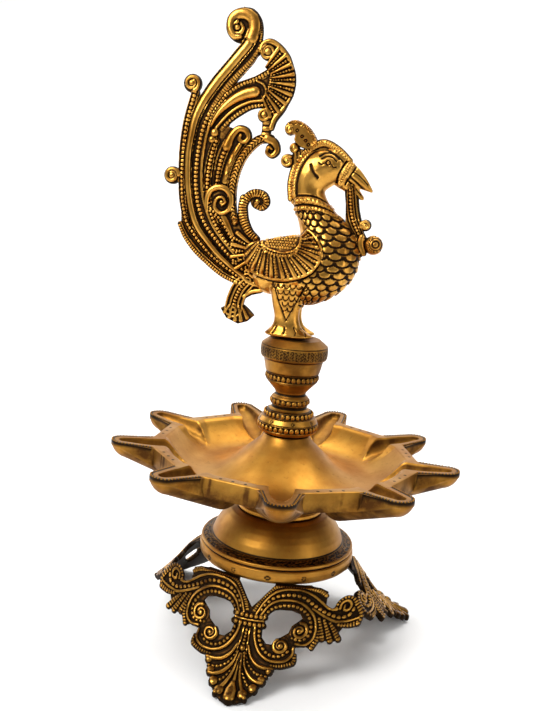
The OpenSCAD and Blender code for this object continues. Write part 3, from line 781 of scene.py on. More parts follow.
def half_sector(radii, d_inside, height):
    """Grid over half of a spout's sector.

    d_inside(t, radius) lists the columns' distances beside the middle line out to the spout's
    edge, and height(radius, t, d, past) gives z. Rows past the wall reach only those columns.
    """
    rows = []
    for radius in radii:
        inside = np.array(d_inside(edge_place(radius), radius))
        edge_d = inside[-1]
        land = edge_d + (radius * math.sin(HALF) - edge_d) * np.linspace(0, 1, N_LAND + 1)[1:]
        d = np.concatenate([inside, land])
        t_row = row_place(radius, d, edge_d)
        rows.append(np.stack([t_row, d, height(radius, t_row, d, False)], -1))
    stay = rows[-1][N_INSIDE:]
    for t, turn in spout_rows():
        d = np.array(d_inside(t, WALL_R + 1))
        z = height(WALL_R + 1, t + d * math.cos(turn), d, True)
        place = np.stack([t + d * math.cos(turn), d * math.sin(turn), z], -1)
        rows.append(np.vstack([place, stay]))
    return np.array(rows)


def channel_cut(t, radius):
    """Half width and depth of a channel: a round cut that narrows as it runs out in the well."""
    full_depth = 7
    depth = float(max(well_height(radius) - channel_floor(t), 0)) if t > CHANNEL_ROOT_T else 0.0
    half = np.interp(t, [0, 60, 88, TIP_T], [0, CHANNEL_R, CHANNEL_R, CHANNEL_TIP_R])
    return max(half * math.sqrt(min(1, depth / full_depth)), 0.02 * t), depth


def top_columns(t, radius):
    c, s = channel_cut(t, radius)[0], spout_half(t)
    floor = [c * share for share in (0, 0.3, 0.55, 0.75, 0.88, 0.95, 0.985)]
    band = list(np.linspace(c + EDGE, s - EDGE, 7)[1:])
    return floor + [c, c + CHANNEL_EDGE] + band + [s - FINE_EDGE, s]


def top_height(radius, t, d, past):
    """Well and rim, cut by the channel, with every edge rounded."""
    land = rim_height(t) + np.zeros(len(d))
    if not past:
        land += well_height(radius) - RIM_Z
    half, depth = channel_cut(float(t[0]), radius)
    floor = channel_floor(t) if past else land - depth
    steepness = np.interp(t[0], [72, 105], [3.6, 5])
    z = land.copy()
    inside = slice(0, N_CHANNEL)
    z[inside] = (floor + (land - floor) * np.clip(d / half, 0, 1) ** steepness)[inside]
    z[N_CHANNEL] -= min(EDGE, depth * 0.2)
    z[N_CHANNEL + 1] -= min(CHANNEL_EDGE, depth * 0.05)
    if radius > WALL_R - EDGE and not past:
        z[N_INSIDE:] -= EDGE * ((radius - WALL_R + EDGE) / EDGE) ** 2
    if radius >= WALL_R:
        z[N_INSIDE - 2:N_INSIDE] -= FINE_EDGE, EDGE
    return z


def bottom_columns(t, _radius):
    return list(spout_half(t) * np.sin(np.linspace(0, math.pi / 2, N_INSIDE)))


def bottom_height(radius, t, d, past):
    """The lower of the bowl's round underside and the spout's, at least as thick as the rim."""
    rim_thickness, keel_start = 4, 51
    keel = keel_height(t, d)
    if past:
        return np.minimum(keel, rim_height(t) - rim_thickness)
    body = np.interp(radius, UNDERSIDE[:, 0], UNDERSIDE[:, 1])
    on_spout = (d <= spout_half(t[0]) + 0.01) & (t > keel_start)
    return np.where(on_spout, np.minimum(keel, body), body)


def on_bowl(t, d, angle):
    """Place at t along and d beside the line from the axis at an angle."""
    return t * np.sin(angle) + d * np.cos(angle), -t * np.cos(angle) + d * np.sin(angle)


SPOUT_ANGLES = [SPOUT_TURN + 2 * HALF * k for k in range(SPOUTS)]


def copied_round(points, faces):
    """Half a sector, mirrored and repeated for every spout."""
    parts = []
    for angle in SPOUT_ANGLES:
        for side in (1, -1):
            x, y = on_bowl(points[:, 0], points[:, 1] * side, angle)
            parts.append((np.stack([x, y, points[:, 2]], -1), faces[:, ::side]))
    return parts


def edge_beads():
    """Small beads along the outer edge of every spout's rim."""
    pitch, inset, size = 2.4, 0.75, (0.7, 0.7, 0.75)
    side = [(t, spout_half(t) - inset) for t in np.linspace(CORNER_T + 1, TIP_T, 40)]
    r = TIP_R - inset
    turns = np.linspace(0, math.pi, 40)[1:-1]
    tip = [(TIP_T + r * math.sin(a), r * math.cos(a)) for a in turns]
    path = np.array(side + tip + [(t, -d) for t, d in reversed(side)])
    run = np.concatenate([[0], np.cumsum(np.hypot(*np.diff(path, axis=0).T))])
    spots = np.arange(0.5, run[-1], pitch)
    row = np.stack([np.interp(spots, run, path[:, 0]), np.interp(spots, run, path[:, 1])], -1)
    points, faces = ball(6, 4)
    return joined([
        (points * size + [*on_bowl(t, d, angle), rim_height(t)], faces)
        for angle in SPOUT_ANGLES for t, d in row
    ])


def punched_marks():
    """Three shallow marks on each flat between spouts."""
    inset, size = 3.6, (1.15, 1.15, 0.12)
    points, faces = ball(12, 4)
    return joined([
        (points * size + [*on_bowl(WALL_R - inset, d, angle + HALF), RIM_Z], faces)
        for angle in SPOUT_ANGLES for d in (-9, 0, 9)
    ])


def bowl_shell():
    well_rows = np.concatenate([
        [5.0, 11.0], np.linspace(17.3, 60, 18), np.linspace(61.5, 89.4, 30),
        [89.9, 90.3, 90.8, 92.5, 95, WALL_R - EDGE, WALL_R - FINE_EDGE, WALL_R]
    ])
    base_rows = np.concatenate([[10.05, 22], np.linspace(34, 50, 8), np.linspace(51.5, 97.6, 34), [WALL_R]])
    top = half_sector(well_rows, top_columns, top_height)
    bottom = half_sector(base_rows, bottom_columns, bottom_height)
    rows, columns = top.shape[:2]
    n_top = rows * columns
    wall = len(well_rows) - 1

    def outline(grid, first_row):
        """The edge from the middle of a flat side along the wall, then down the spout to its tip."""
        along_wall = [first_row * columns + c for c in range(columns - 1, N_INSIDE - 1, -1)]
        return along_wall + [r * columns + N_INSIDE - 1 for r in range(first_row, len(grid))]

    upper = np.array(outline(top, wall))
    lower = np.array(outline(bottom, len(base_rows) - 1)) + n_top
    strip = np.stack([upper[:-1], upper[1:], lower[1:], lower[:-1]], -1)
    c = np.arange(columns - 1)
    bore = np.stack([n_top + c, n_top + c + 1, c + 1, c], -1)
    points = np.vstack([top.reshape(-1, 3), bottom.reshape(-1, 3)])
    top_faces = grid_faces(rows, columns)
    bottom_faces = grid_faces(len(bottom), columns)[:, ::-1] + n_top

    # Tarnish on the rim and round the wall's edge; darker in the channels and underneath, which is painted
    # shade with tarnish
    z = top[..., 2]
    aged_and_shaded = np.where(z > RIM_Z - 0.6, 0.25, 0.0)
    # Channel cuts darkened: painted shade, with tarnish.
    cut = z < np.maximum.accumulate(z[:, ::-1], 1)[:, ::-1] - 0.8
    aged_and_shaded[:, :4][cut[:, :4]] = 0.4
    aged_and_shaded[:, 4:N_CHANNEL + 1][cut[:, 4:N_CHANNEL + 1]] = 0.8
    aged_and_shaded[wall:] = np.maximum(aged_and_shaded[wall:], 0.35)
    aged_and_shaded[wall, N_INSIDE - 1:] = 0.95
    aged_and_shaded[wall:, N_INSIDE - 1] = 0.95
    # Underside painted dark as shade, less so towards each spout's tip.
    snout = np.clip((bottom[..., 0].ravel() - 110) / 14, 0, 1)
    aged_and_shaded = np.concatenate([aged_and_shaded.ravel(), 0.95 - 0.5 * snout])
    struck = np.zeros(len(points))
    struck[:n_top].reshape(rows, columns)[wall + 1:, N_INSIDE - 5:N_INSIDE] = 0.85

    halves = copied_round(points, np.vstack([top_faces, bottom_faces, strip, bore]))
    row, marks = edge_beads(), punched_marks()
    points, faces = joined(halves + [row, marks])
    counts = len(row[0]), len(marks[0])
    recess = np.concatenate([np.tile(struck, len(halves)), np.repeat([0.0, 0.8], counts)])
    aged_and_shaded = np.concatenate([np.tile(aged_and_shaded, len(halves)), np.repeat([0.1, 1.0], counts)])
    return (points, faces, recess), aged_and_shaded


def weld(piece):
    """Joins doubled points and drops faces of no area."""
    near, tiny, crease = 0.02 * MM, 0.01 * MM, math.radians(38)
    work = bmesh.new()
    work.from_mesh(piece.data)
    bmesh.ops.remove_doubles(work, verts=work.verts, dist=near)
    bmesh.ops.dissolve_degenerate(work, dist=tiny, edges=work.edges)
    bmesh.ops.recalc_face_normals(work, faces=work.faces)
    work.to_mesh(piece.data)
    work.free()
    piece.data.set_sharp_from_angle(angle=crease)


shell, aged_and_shaded = bowl_shell()
weld(make_piece("bowl_casting", shell, SATIN, "bowl", ["bowl"], aged_and_shaded))

# ---------------------------------------------------------------- turned parts

def bell_marks(angle, z, r):
    """Rosettes on the flange, and the dark rough ledge above the lip."""
    rise, dark = rosettes(65.8, 58.8, 14, 1.8, math.radians(-87))(angle, z, r)
    ledge = np.clip((r - 50.2) / 0.6, 0, 1) * np.clip((56.9 - r) / 0.5, 0, 1)
    ledge = ledge * np.clip((z - 73.9) / 0.4, 0, 1) * np.clip((77.4 - z) / 0.5, 0, 1)
    dots = np.sin(angle * 61 + 3 * np.sin(r * 2.2)) * np.sin(r * 2.5 + 2.4 * np.sin(angle * 23))
    return rise + 0.3 * dots * ledge, np.maximum(dark, ledge * (0.5 - 0.35 * dots))


bell = lathe([
    (6, 93.8), (6, 97.8), (33, 97.8), (37, 96.6), (40.4, 93.6), (43.4, 90), (46.2, 86), (48.2, 82),
    (49.9, 77.0), (50.6, 76.2), (56.5, 74.3), (57.5, 74.5), (58.1, 73.6), (58.1, 72.4), (57.2, 71.6),
    (57.2, 71.0), (58.5, 70.2), (58.9, 67), (58.6, 63.5), (57.4, 61.5), (49.5, 61.5), (49.5, 66.5),
    (53, 69.5), (51.5, 72), (46, 73.5), (44.2, 81), (39.4, 88), (33, 92.5), (15, 93.8)
], 300, 0.7, 0.5, [(71.3, 0.4, 0.3), (76.9, 0.5, 0.1)], bell_marks)
make_piece("pedestal_bell_casting", bell, SATIN, "pedestal", ["pedestal_bell"], 0.25)

ring = lathe([(18, 97.8), (31, 97.8), (32.6, 99.5), (32.2, 101.5), (34, 104), (18, 104)], 160, 0.5, 0.5)
make_piece("foot_ring_casting", ring, SATIN, "bowl", ["bowl_foot_ring"], 0.0)

knop = with_beads(
    lathe([
        (8.1, 156.5), (16.9, 156.5), (17.2, 158), (19.9, 158.6), (21.6, 160), (22, 161.2),
        (21.6, 161.7), (21.6, 165.8), (22.5, 166.2), (22.3, 167), (20.2, 170.6), (18.6, 171.0),
        (16.4, 174.9), (16.8, 175.6), (14.2, 176.6), (13.5, 177.3), (4, 177.3), (4, 168.55),
        (8.1, 168.55)
    ], 192, 0.45, 0.3, [
        (157.2, 1.2, 0.3), (163.7, 2.4, 0.1), (166.9, 0.3, 0.35), (173, 2.2, 0.1), (175.7, 0.4, 0.3)
    ], rosettes(168.8, 21.3, 8, 1.25, 0.3)),
    bead_ring(21.9, 163.7, 34, (1.1, 1.6, 2.1)),
    bead_ring(17.9, 172.9, 30, (1.1, 1.4, 2.0)),
)
make_piece("knop_casting", knop, SATIN, "stem", ["stem_knop"], 0.0)

baluster = with_beads(
    lathe([
        (4, 177.3), (13.4, 177.3), (13.4, 178.6), (14.1, 180), (14.0, 181.2), (14.0, 183.6),
        (14.0, 184.9), (13.2, 185.9), (12.2, 186.6), (11.3, 188), (11.9, 190), (13.8, 192.2),
        (18.4, 197.2), (4, 197.2)
    ], 176, 0.45, 0.3, [(178.4, 1.3, 0.3), (182.4, 2.2, 0.1), (187.9, 0.9, 0.1)]),
    bead_ring(14.1, 182.4, 21, (1.1, 1.85, 1.9)),
)
make_piece("baluster_casting", baluster, SATIN, "stem", ["stem_baluster"], 0.4)


def stipple(angle, z, r):
    """Wavy dark texture struck all over the cup's rim band."""
    inside = np.clip((z - 215.6) / 0.8, 0, 1) * np.clip((223.6 - z) / 0.5, 0, 1) * (r > 20)
    across = np.sin(angle * 62 + 1.4 * np.sin(z * 2.3 + angle * 9))
    up = np.sin(z * 2.6 + 1.2 * np.sin(angle * 31))
    low = np.clip(across * up * 1.4 + 0.1, 0, 1) * inside
    return -0.3 * low, low * 0.6 + 0.26 * inside


cup = with_beads(
    lathe([
        (4, 197.2), (18.4, 197.2), (19.2, 198.0), (18.8, 198.8), (18.8, 203.2), (19.9, 204.0),
        (20.4, 206), (21.6, 211.6), (22, 213.6), (24.2, 215.4), (24.8, 217), (25, 219.5),
        (24.8, 223.9), (24.5, 224.2), (8.05, 224.2), (8.05, 211.5), (4, 211.5)
    ], 320, 0.5, 0.3, [(201, 2.6, 0.1), (204.4, 0.4, 0.3), (214.2, 0.4, 0.1)], stipple),
    bead_ring(19.1, 201, 32, (1.15, 1.55, 2.0)),
)
make_piece("cup_casting", cup, SATIN, "stem", ["stem_cup"], 0.6)

plinth = lathe([
    (5.05, 224.25), (24.6, 224.25), (24.6, 224.9), (18.5, 229.6), (0.02, 229.6), (0.02, 228.05),
    (5.05, 228.05)
], 160, 0.6, 0.25, [(224.4, 0.5, 0.1)])
make_piece("plinth_casting", plinth, SATIN, "finial", ["finial_plinth"], 0.55)

# ---------------------------------------------------------------- legs

LEG_LINE = np.array([(57, 62), (74, 39), (88, 11.5), (119, 1.4)], float)
LEG_TURN, LEG_LENGTH, LEG_HALF_WIDTH = -4, 88, 73


def leg_curve(u):
    u = np.asarray(u)[:, None]
    a, b, c, d = LEG_LINE
    return a * (1 - u) ** 3 + 3 * b * u * (1 - u) ** 2 + 3 * c * u**2 * (1 - u) + d * u**3


def on_leg(turn):
    """Turns a leg's flat sheet, with the distance down it counted below zero, into space."""
    def place(x, y, h):
        u = -y / LEG_LENGTH
        line = leg_curve(u)
        way = leg_curve(u + 0.01) - leg_curve(u - 0.01)
        way /= np.linalg.norm(way, axis=1, keepdims=True)
        wrap = 26 * (x / LEG_HALF_WIDTH) ** 2 * np.clip(line[:, 1] / 50, 0, 1)
        out = line[:, 0] - h * way[:, 1] - wrap
        under_flange = np.where(out < 60, 61.48, 66)
        z = np.clip(line[:, 1] + h * way[:, 0], 0.02, under_flange)
        angle = math.radians(LEG_TURN + turn)
        return np.stack([
            x * math.cos(angle) + out * math.sin(angle), x * math.sin(angle) - out * math.cos(angle), z
        ], -1)
    return place


def draw_leg():
    c = Casting((-78, -90), (78, 5), 0.46)
    half_edge = [(0, 19), (4, 14), (9, 7), (13, 2), (13, -3), (38, -3), (39, 0), (44, 1), (50, 4),
        (50, 13), (53, 17), (57, 15), (58, 11), (62, 8), (67, 9), (71, 14), (76, 22), (75, 27), (64, 28),
        (62, 31), (63, 36), (57, 37), (51, 36), (46, 43), (42, 41), (34, 42), (36, 48), (37, 54),
        (30, 55), (24, 57), (23, 61), (20, 65), (19, 69), (15, 77), (10, 83), (6, 86), (0, 88)]
    window = [(11, 24), (15, 19), (21, 18), (28, 18), (34, 20), (36, 23), (30, 28), (28.5, 33), (22, 38),
        (19, 42), (15, 42), (11, 38), (10, 31)]

    def side(points, sign=1):
        return [(sign * x, -y) for x, y in points]

    c.patch(side(half_edge) + side(half_edge, -1)[-2:0:-1], 0.1)
    for sign in (1, -1):
        c.hole(side(window, sign))

    def both(points, widths, marks, base=0.4):
        for sign in (1, -1):
            c.stroke(side(points, sign), widths, marks, base)

    # Great arch: filed edge, smooth lines and a row of big beads that runs on into the wing
    both([(2.5, 22), (6, 14.5), (11, 7), (15, 2.8), (22, 1.2), (30, 1), (38, 2.2), (45, 4), (49.5, 7)],
        [3, 3.2, 3.2, 3], [rope(0, 1, 1.1, 1.7)])
    both([(4.5, 23.5), (8, 15.5), (13, 8.5), (19, 4.8), (27, 3.6), (35, 4.6), (42, 8), (47, 12),
        (53, 16.5), (58, 17)], [1.8, 2, 2], [rib(0, 1, 1.5)])
    both([(7, 21.5), (10, 15.5), (15, 10.6), (21, 8.2), (28, 7.6), (35, 9), (41, 13), (47, 17),
        (54, 20.3), (61, 22.3), (67, 20.5), (70, 15)], [3.4, 3.8, 3.8, 3.2],
        [bead_row(0, 0.8, 1.6, 3.6)], 0.3)
    both([(8, 23.5), (12, 16.5), (18, 12.4), (26, 11.3), (33, 12.6), (39, 16.5), (44, 22), (46.4, 29),
        (45.6, 36), (41, 40.2), (35, 40)], [1.8, 2.2, 2], [rib(0, 1, 1.6)])
    both([(42, 16.5), (50, 21), (58, 24.6), (66, 24.6), (73.5, 23)], [1.8, 2.2, 1.6], [rib(0, 1, 1.4)])
    both([(9.5, 27.5), (11, 22.5), (15, 18), (21, 15.4), (28, 15), (34, 16.6), (39, 20), (42.3, 25.5),
        (43, 31), (41, 35.6), (37, 37.5), (32, 36.6)], [3, 3.2, 3.4, 3], [bead_row(0, 0.78, 1.3, 3.0)],
        0.3)
    # Wing with its scroll and filed leaf edge
    both([(57, 17), (59, 12), (63.5, 9), (68, 10.4), (72, 15.5), (75, 21), (74, 26)], [2.6, 3.4, 3.6, 3],
        [rope(0, 1, 1.3, 2.2)])
    both([(60, 16.5), (61, 12.8), (64.5, 11.4), (67, 14), (66, 17.4), (62.8, 17.6), (62.8, 14.8)],
        [2.2, 2.2, 1.8], [rib(0, 1, 1.7)])
    for ends in ([(47, 22), (49.5, 29), (51.5, 35.4)], [(50.5, 23), (54, 30), (57, 36.4)],
                 [(54.5, 25), (59, 30.5), (62.4, 35.4)], [(60, 26.4), (67, 27.2), (73.4, 26)]):
        both(ends, [2.2, 4.2], [rope(0, 0.95, 1.4, 2.0)])
    both([(48.5, 30), (48, 36), (45.8, 41.6)], [3.4, 4, 3.4], [rope(0, 0.95, 1.3, 1.9)])
    # Two scrolls on each side, and the stems round them
    for sign in (1, -1):
        c.scroll((sign * 36, -31.6), 7, 90, -1.2 * sign, 3.0, 1.7, 0.4, 0.3)
        c.scroll((sign * 25.4, -42.6), 6.6, 130 if sign == 1 else 50, 1.35 * sign, 3.4, 1.9, 0.4, 0.32)
    both([(5.5, 32.5), (6.3, 38), (8.6, 44), (12.6, 49.6), (18.5, 53), (25, 53.6), (30.6, 52),
        (34.2, 47.6), (34, 42.5)], [2, 2.6, 2.4, 2], [rib(0, 1, 1.9)])
    both([(8.6, 33), (9.3, 38), (11.8, 43.6), (16, 48), (21.5, 50), (27, 49), (31, 45.4)],
        [3.2, 3.6, 3.6, 3], [bead_row(0, 0.8, 1.4, 3.2)], 0.3)
    both([(21, 56.8), (27, 56), (32, 54.4), (36, 52), (36, 47)], [2.4, 3.4, 3.4, 2.4],
        [rope(0, 1, 1.2, 1.8)])
    # Tie band and the bead drop below it
    c.stroke(side([(-10.5, 24.6), (-5, 25.3), (5, 25.3), (10.5, 24.6)]), [4.4],
        [bead_row(0, 0.8, 1.8, 3.4)], 0.7)
    c.stroke(side([(-10.5, 30.4), (-5, 31), (5, 31), (10.5, 30.4)]), [4.4], [bead_row(0, 0.8, 1.8, 3.4)],
        0.7)
    c.stroke(side([(-10.5, 27.7), (0, 28.3), (10.5, 27.7)]), [1.6], [rib(0, 1, 0.9)], 0.5)
    c.stroke(side([(0, 34), (0, 46)]), [2.6], [bead_row(0, 0.9, 1.4, 2.4)], 0.3)
    c.disc((0, -48), 2.2, 0.6, 1.7)
    both([(2.2, 34), (2.6, 42), (3.4, 50)], [1.3], [rib(0, 1, 1.1)])
    # Palmette with fluted toes
    both([(4, 46), (7, 53), (12, 57.6), (17, 59), (23, 59)], [1.8, 2.8, 3], [rib(0, 1, 2.0)])
    both([(3, 50), (6, 57.6), (11, 62.6), (16, 64.4), (20, 64.6)], [2, 2.6, 3.2],
        [bead_row(0, 0.8, 1.2, 2.9)], 0.3)
    both([(2.2, 51), (4.4, 60), (9, 66.4), (14, 69.4), (18.6, 69.6)], [1.6, 2.6, 3.4], [rib(0, 1, 2.0)])
    both([(1.6, 53), (3.4, 63), (7, 70), (11, 74), (15, 76)], [1.5, 2.4, 3.4],
        [bead_row(0, 0.8, 1.2, 2.9)], 0.3)
    both([(0.9, 52), (2.2, 64), (4.8, 73), (8.4, 79.6), (10, 82.4)], [1.4, 2.6, 4.2], [rib(0, 0.9, 1.9)])
    c.stroke(side([(0, 52), (0, 64), (0, 74)]), [1.4, 2, 3.4], [rib(0, 0.9, 1.5)], 0.3)
    c.stroke(side([(0, 74), (0, 80), (0, 84)]), [4, 8.5, 8.6], [rib(0, 0.95, 2.8)], 0.6)
    for x, y, r in ((8, 80, 3.5), (13.8, 74.6, 3.4), (18, 68, 3.1), (21.4, 60.6, 2.6)):
        for sign in (1, -1):
            c.disc((sign * x, -y), r, 0.5, 2.0)
    return c


leg_sheet = draw_leg()
for leg_name, turn in (("leg_front", 0), ("leg_right", 120), ("leg_left", 240)):
    leg = leg_sheet.mesh(on_leg(turn), 2.8, back=False)
    make_piece(leg_name + "_casting", leg, DARK_CAST, "pedestal", [leg_name])

# ---------------------------------------------------------------- tail

def draw_tail():
    c = Casting((-110, 234), (-13, 460), 0.48)
    c.patch([(-44, 266), (-58, 272), (-70, 280), (-80, 288), (-88, 297), (-92, 304), (-93, 315),
        (-95, 335), (-96, 360), (-93, 376), (-88, 394), (-81, 401), (-74, 411), (-66, 423), (-58, 434),
        (-48, 444), (-43, 437), (-43, 428), (-50, 421), (-58, 412), (-63, 406), (-55, 409), (-45, 413),
        (-34, 420), (-33, 393), (-40, 393), (-47, 392), (-55, 387), (-60, 382), (-62, 377), (-55, 375),
        (-46, 368), (-46, 362), (-50, 350), (-53, 340), (-54, 330), (-52, 318), (-46, 308), (-36, 299),
        (-28, 292), (-28, 260), (-35, 258), (-41, 254)], 0.15)
    c.stroke([(-41, 256.6), (-35, 260.6), (-28, 262.2)], [3, 3.4, 3.4], [rib(0, 0.9, 1.3)], 0.5)
    c.stroke([(-45, 272), (-38, 267.4), (-29, 264.6)], [2.4, 4.4, 1.8], [rib(0, 0.85, 1.5)], 0.5)
    c.stroke([(-41, 277), (-36, 272), (-28, 268.6)], [2.4, 3.6, 2.6], [rib(0, 0.85, 1.5)], 0.5)
    # Milled edge and the beaded outer feather
    c.stroke([(-93, 305), (-88, 296), (-80, 287), (-70, 279), (-58, 271), (-45, 266)], [4, 5, 5, 4.5],
        [rope(-0.3, 0.7, 1.3, 1.9), rib(0.75, 0.25, 1.1)], 0.5)
    outer = [
        (-44, 269), (-54, 275), (-66, 283), (-76, 292), (-83, 300), (-88, 307), (-91, 317), (-93, 328),
        (-94, 345), (-94, 360), (-93, 374), (-91, 386), (-88, 399)
    ]
    c.stroke(outer, [4, 5, 5, 5, 5.5, 6.5, 6.5, 6], [bead_row(0, 0.48, 1.3, 2.9)] + BORDERS, 0.5)
    c.scroll((-90.5, 405), 7, -70, 1.35, 3.6, 1.7, 0.9, 0.34)
    c.scroll((-101, 339.5), 6.8, 10, 1.3, 3.6, 1.7, 0.9, 0.34)
    # Smooth main rib that runs up and over the great scroll
    c.stroke([(-42, 271), (-50, 276), (-62, 285), (-72, 295), (-80, 305), (-85, 317), (-88, 330),
        (-89.5, 342), (-90, 356), (-88.5, 370), (-86.5, 381), (-82.5, 391), (-78, 399), (-72, 408),
        (-65, 417), (-58, 426), (-52, 434), (-48.5, 443)], [4, 5, 6, 6, 6.5, 7, 8, 9, 9, 9],
        [rib(0, 0.72, 2.0), rib(-0.92, 0.12, 1.2), rib(0.92, 0.12, 1.2)], 0.6)
    c.disc((-57.5, 446), 11.8, 0.3)
    c.stroke([(-50, 438), (-48.5, 444), (-49.5, 450), (-54, 453.6), (-60, 453.8), (-65, 450),
        (-65.5, 443.5), (-62.5, 438.7), (-58.5, 438.5)], [9, 9, 9, 8.5, 8, 7, 6, 4], [rib(0, 0.95, 2.3)],
        0.8)
    c.stroke([(-61, 448.5), (-64, 445), (-62.5, 441), (-58.5, 440.8), (-56.6, 444), (-58.5, 447.5)],
        [3, 3.4, 3.2, 2], [rib(0, 1, 1.6)], 1.0)
    c.disc((-60.6, 444.4), 2.0, 1.8, 1.4)
    c.stroke([(-43.4, 436), (-43.6, 444), (-45.5, 451), (-50.5, 456.6), (-57, 458)], [2, 2.6, 2.6, 1.6],
        [rope(0, 1, 1.0, 1.5)], 0.5)
    # Beaded plume inside it, filed with a ladder above
    c.stroke([(-40, 274), (-46, 278), (-56, 287), (-66, 297), (-73, 305), (-78.5, 315), (-82, 327),
        (-83.5, 339), (-83.5, 350), (-82.5, 362), (-80.5, 374), (-77, 384)], [4, 5, 5, 5.5, 5.5, 5],
        [bead_row(0, 0.6, 1.4, 3.0)], 0.4)
    c.stroke([(-77, 384), (-73, 392), (-68, 400), (-62, 408), (-55, 416), (-49, 423), (-45, 430),
        (-43.5, 434)], [4, 4.5, 5, 5, 4, 2.5], [rope(0, 0.75, 1.3, 1.9), rib(-0.95, 0.14, 0.9)], 0.4)
    c.stroke([(-46, 283), (-56, 292), (-66, 303), (-72.5, 314), (-77, 326), (-79, 338), (-79.5, 350),
        (-78.5, 363), (-76, 376), (-71, 387), (-65, 395)], [1.8, 2.2, 2.2, 1.4], [rib(0, 1, 1.5)], 0.4)
    c.stroke([(-48, 287), (-57, 295), (-63, 302), (-68, 310), (-71.5, 318), (-73.5, 327), (-74.5, 337),
        (-74, 347), (-72.5, 358), (-70, 366)], [4, 5, 5, 5.5, 6, 5],
        [bead_row(0, 0.55, 1.5, 2.8)] + BORDERS, 0.4)
    c.disc((-73.3, 367), 2.5, 0.9, 1.6)
    c.disc((-71.6, 371.8), 2.9, 0.9, 1.8)
    # Second plume with its smooth drop and beaded borders
    c.stroke([(-77, 372), (-75.5, 381), (-71, 390), (-64, 399.5), (-55, 406), (-45, 410.5),
        (-35, 416.5)], [3, 4, 4.5, 4.5, 5], [bead_row(0, 0.6, 1.1, 2.3), rib(0.95, 0.15, 0.9)], 0.5)
    c.stroke([(-74.5, 376), (-72, 382), (-67, 389), (-60, 395.5), (-52, 400), (-45, 402)],
        [1.5, 3, 5.5, 7, 8.5, 9], [rib(0, 0.85, 2.3)], 0.6)
    c.stroke([(-71, 375), (-65, 382.6), (-58, 389.2), (-48, 394.6), (-38, 396.6)], [2, 2.2, 2.2],
        [rib(0, 1, 1.6)], 0.5)
    c.stroke([(-67, 375), (-61, 381.5), (-55, 386.5), (-47, 391.4), (-38, 393.4)], [3, 4, 3.5],
        [bead_row(0, 0.7, 0.9, 2.4)], 0.4)
    c.stroke([(-44, 409.4), (-38.6, 407), (-36.8, 402), (-38.5, 397.5)], [1.5, 1.8, 1.5],
        [rib(0, 1, 1.6)], 0.5)
    c.stroke([(-34, 420), (-33, 411), (-35, 400), (-33, 393)], [4, 4.5, 4],
        [bead_row(-0.4, 0.45, 0.9, 1.7), bead_row(0.45, 0.45, 0.9, 1.7)], 0.5)
    # Fan
    fan = (-44.5, 409.5)

    def spoke(degrees, r):
        angle = math.radians(degrees)
        return fan[0] + r * math.cos(angle), fan[1] + r * math.sin(angle)

    c.patch([spoke(d, 28.3) for d in range(-66, 63, 4)] + [spoke(d, 11) for d in range(62, -67, -16)], 0.4)
    for k in range(17):
        degrees = -63 + k * 7.6
        if k % 2:
            c.stroke([spoke(degrees, 13), spoke(degrees, 20), spoke(degrees, 26.4)], [1.2, 3.2],
                [bead_row(0, 0.75, 1.3, 2.1)], 0.4, 2)
        else:
            c.stroke([spoke(degrees, 11.5), spoke(degrees, 20), spoke(degrees, 26.6)], [1.4, 3.7],
                [rib(0, 0.85, 1.9)], 0.5, 2)
    c.stroke([(-43, 430), (-41.5, 434.6), (-36, 436.6), (-29, 433), (-23, 427), (-18.6, 419)],
        [3, 4.5, 4, 3, 1.2], [rib(0, 1, 1.4)], 0.7)
    c.stroke([(-19.5, 399), (-24, 391), (-29, 384.5), (-31, 378)], [1.5, 3.4, 4.5, 4], [rib(0, 1, 1.2)],
        0.6)
    c.scroll((-37.5, 429.6), 6.4, 115, 1.25, 3.5, 1.5, 0.6, 0.45)
    c.scroll((-36.5, 386.5), 5.6, 30, 1.2, 3.2, 1.5, 0.6, 0.45)
    c.stroke([(-34.5, 371), (-34.5, 377), (-34.5, 383)], [7.5, 6.5, 7], [rope(0, 1, 1.2, 4.2)], 0.6)
    # Beaded feather that ends in a scroll, and the smooth stem beside it
    c.stroke([(-68, 334), (-67, 346), (-65, 356), (-61.5, 365)], [4, 6, 7, 7],
        [bead_row(-0.1, 0.5, 1.5, 2.9)] + BORDERS, 0.5)
    c.disc((-51.4, 371.2), 5.6, 0.5)
    c.stroke([(-62, 363), (-59, 370.5), (-54.5, 375.6), (-49, 375.2), (-46.6, 370.6), (-49.4, 367),
        (-53.2, 368.4), (-52.4, 371.6)], [7, 6, 5.8, 5.4, 4.8, 4, 3.2, 2.6], [rib(0, 0.9, 1.8)], 0.8)
    c.stroke([(-61.5, 338), (-59.5, 348), (-56, 358), (-52.5, 365)], [5, 6, 5.5, 4],
        [rib(0, 0.85, 1.3), bead_row(0, 0.7, 1.7, 9)], 0.4)
    # Braided arch
    c.stroke([(-52, 310), (-55, 322), (-56, 334), (-54.5, 345), (-51, 355), (-45.5, 363.5),
        (-38.5, 369.6), (-31, 370.6)], [5, 6, 7, 7, 7, 7, 6.5],
        [rope(0, 0.72, 1.7, 2.7, 1.0), rib(0.93, 0.14, 1.0), rib(-0.93, 0.14, 1.0)], 0.5)
    c.disc((-29.6, 363.4), 4.4, 0.5)
    c.stroke([(-33, 370.6), (-27.5, 368), (-25.6, 362.6), (-28.8, 358.8), (-32.8, 361), (-31.4, 364.8),
        (-29, 363.4)], [6.5, 6, 5.4, 4.6, 3.4, 2.6, 2], [rib(0, 0.95, 1.7)], 0.8)
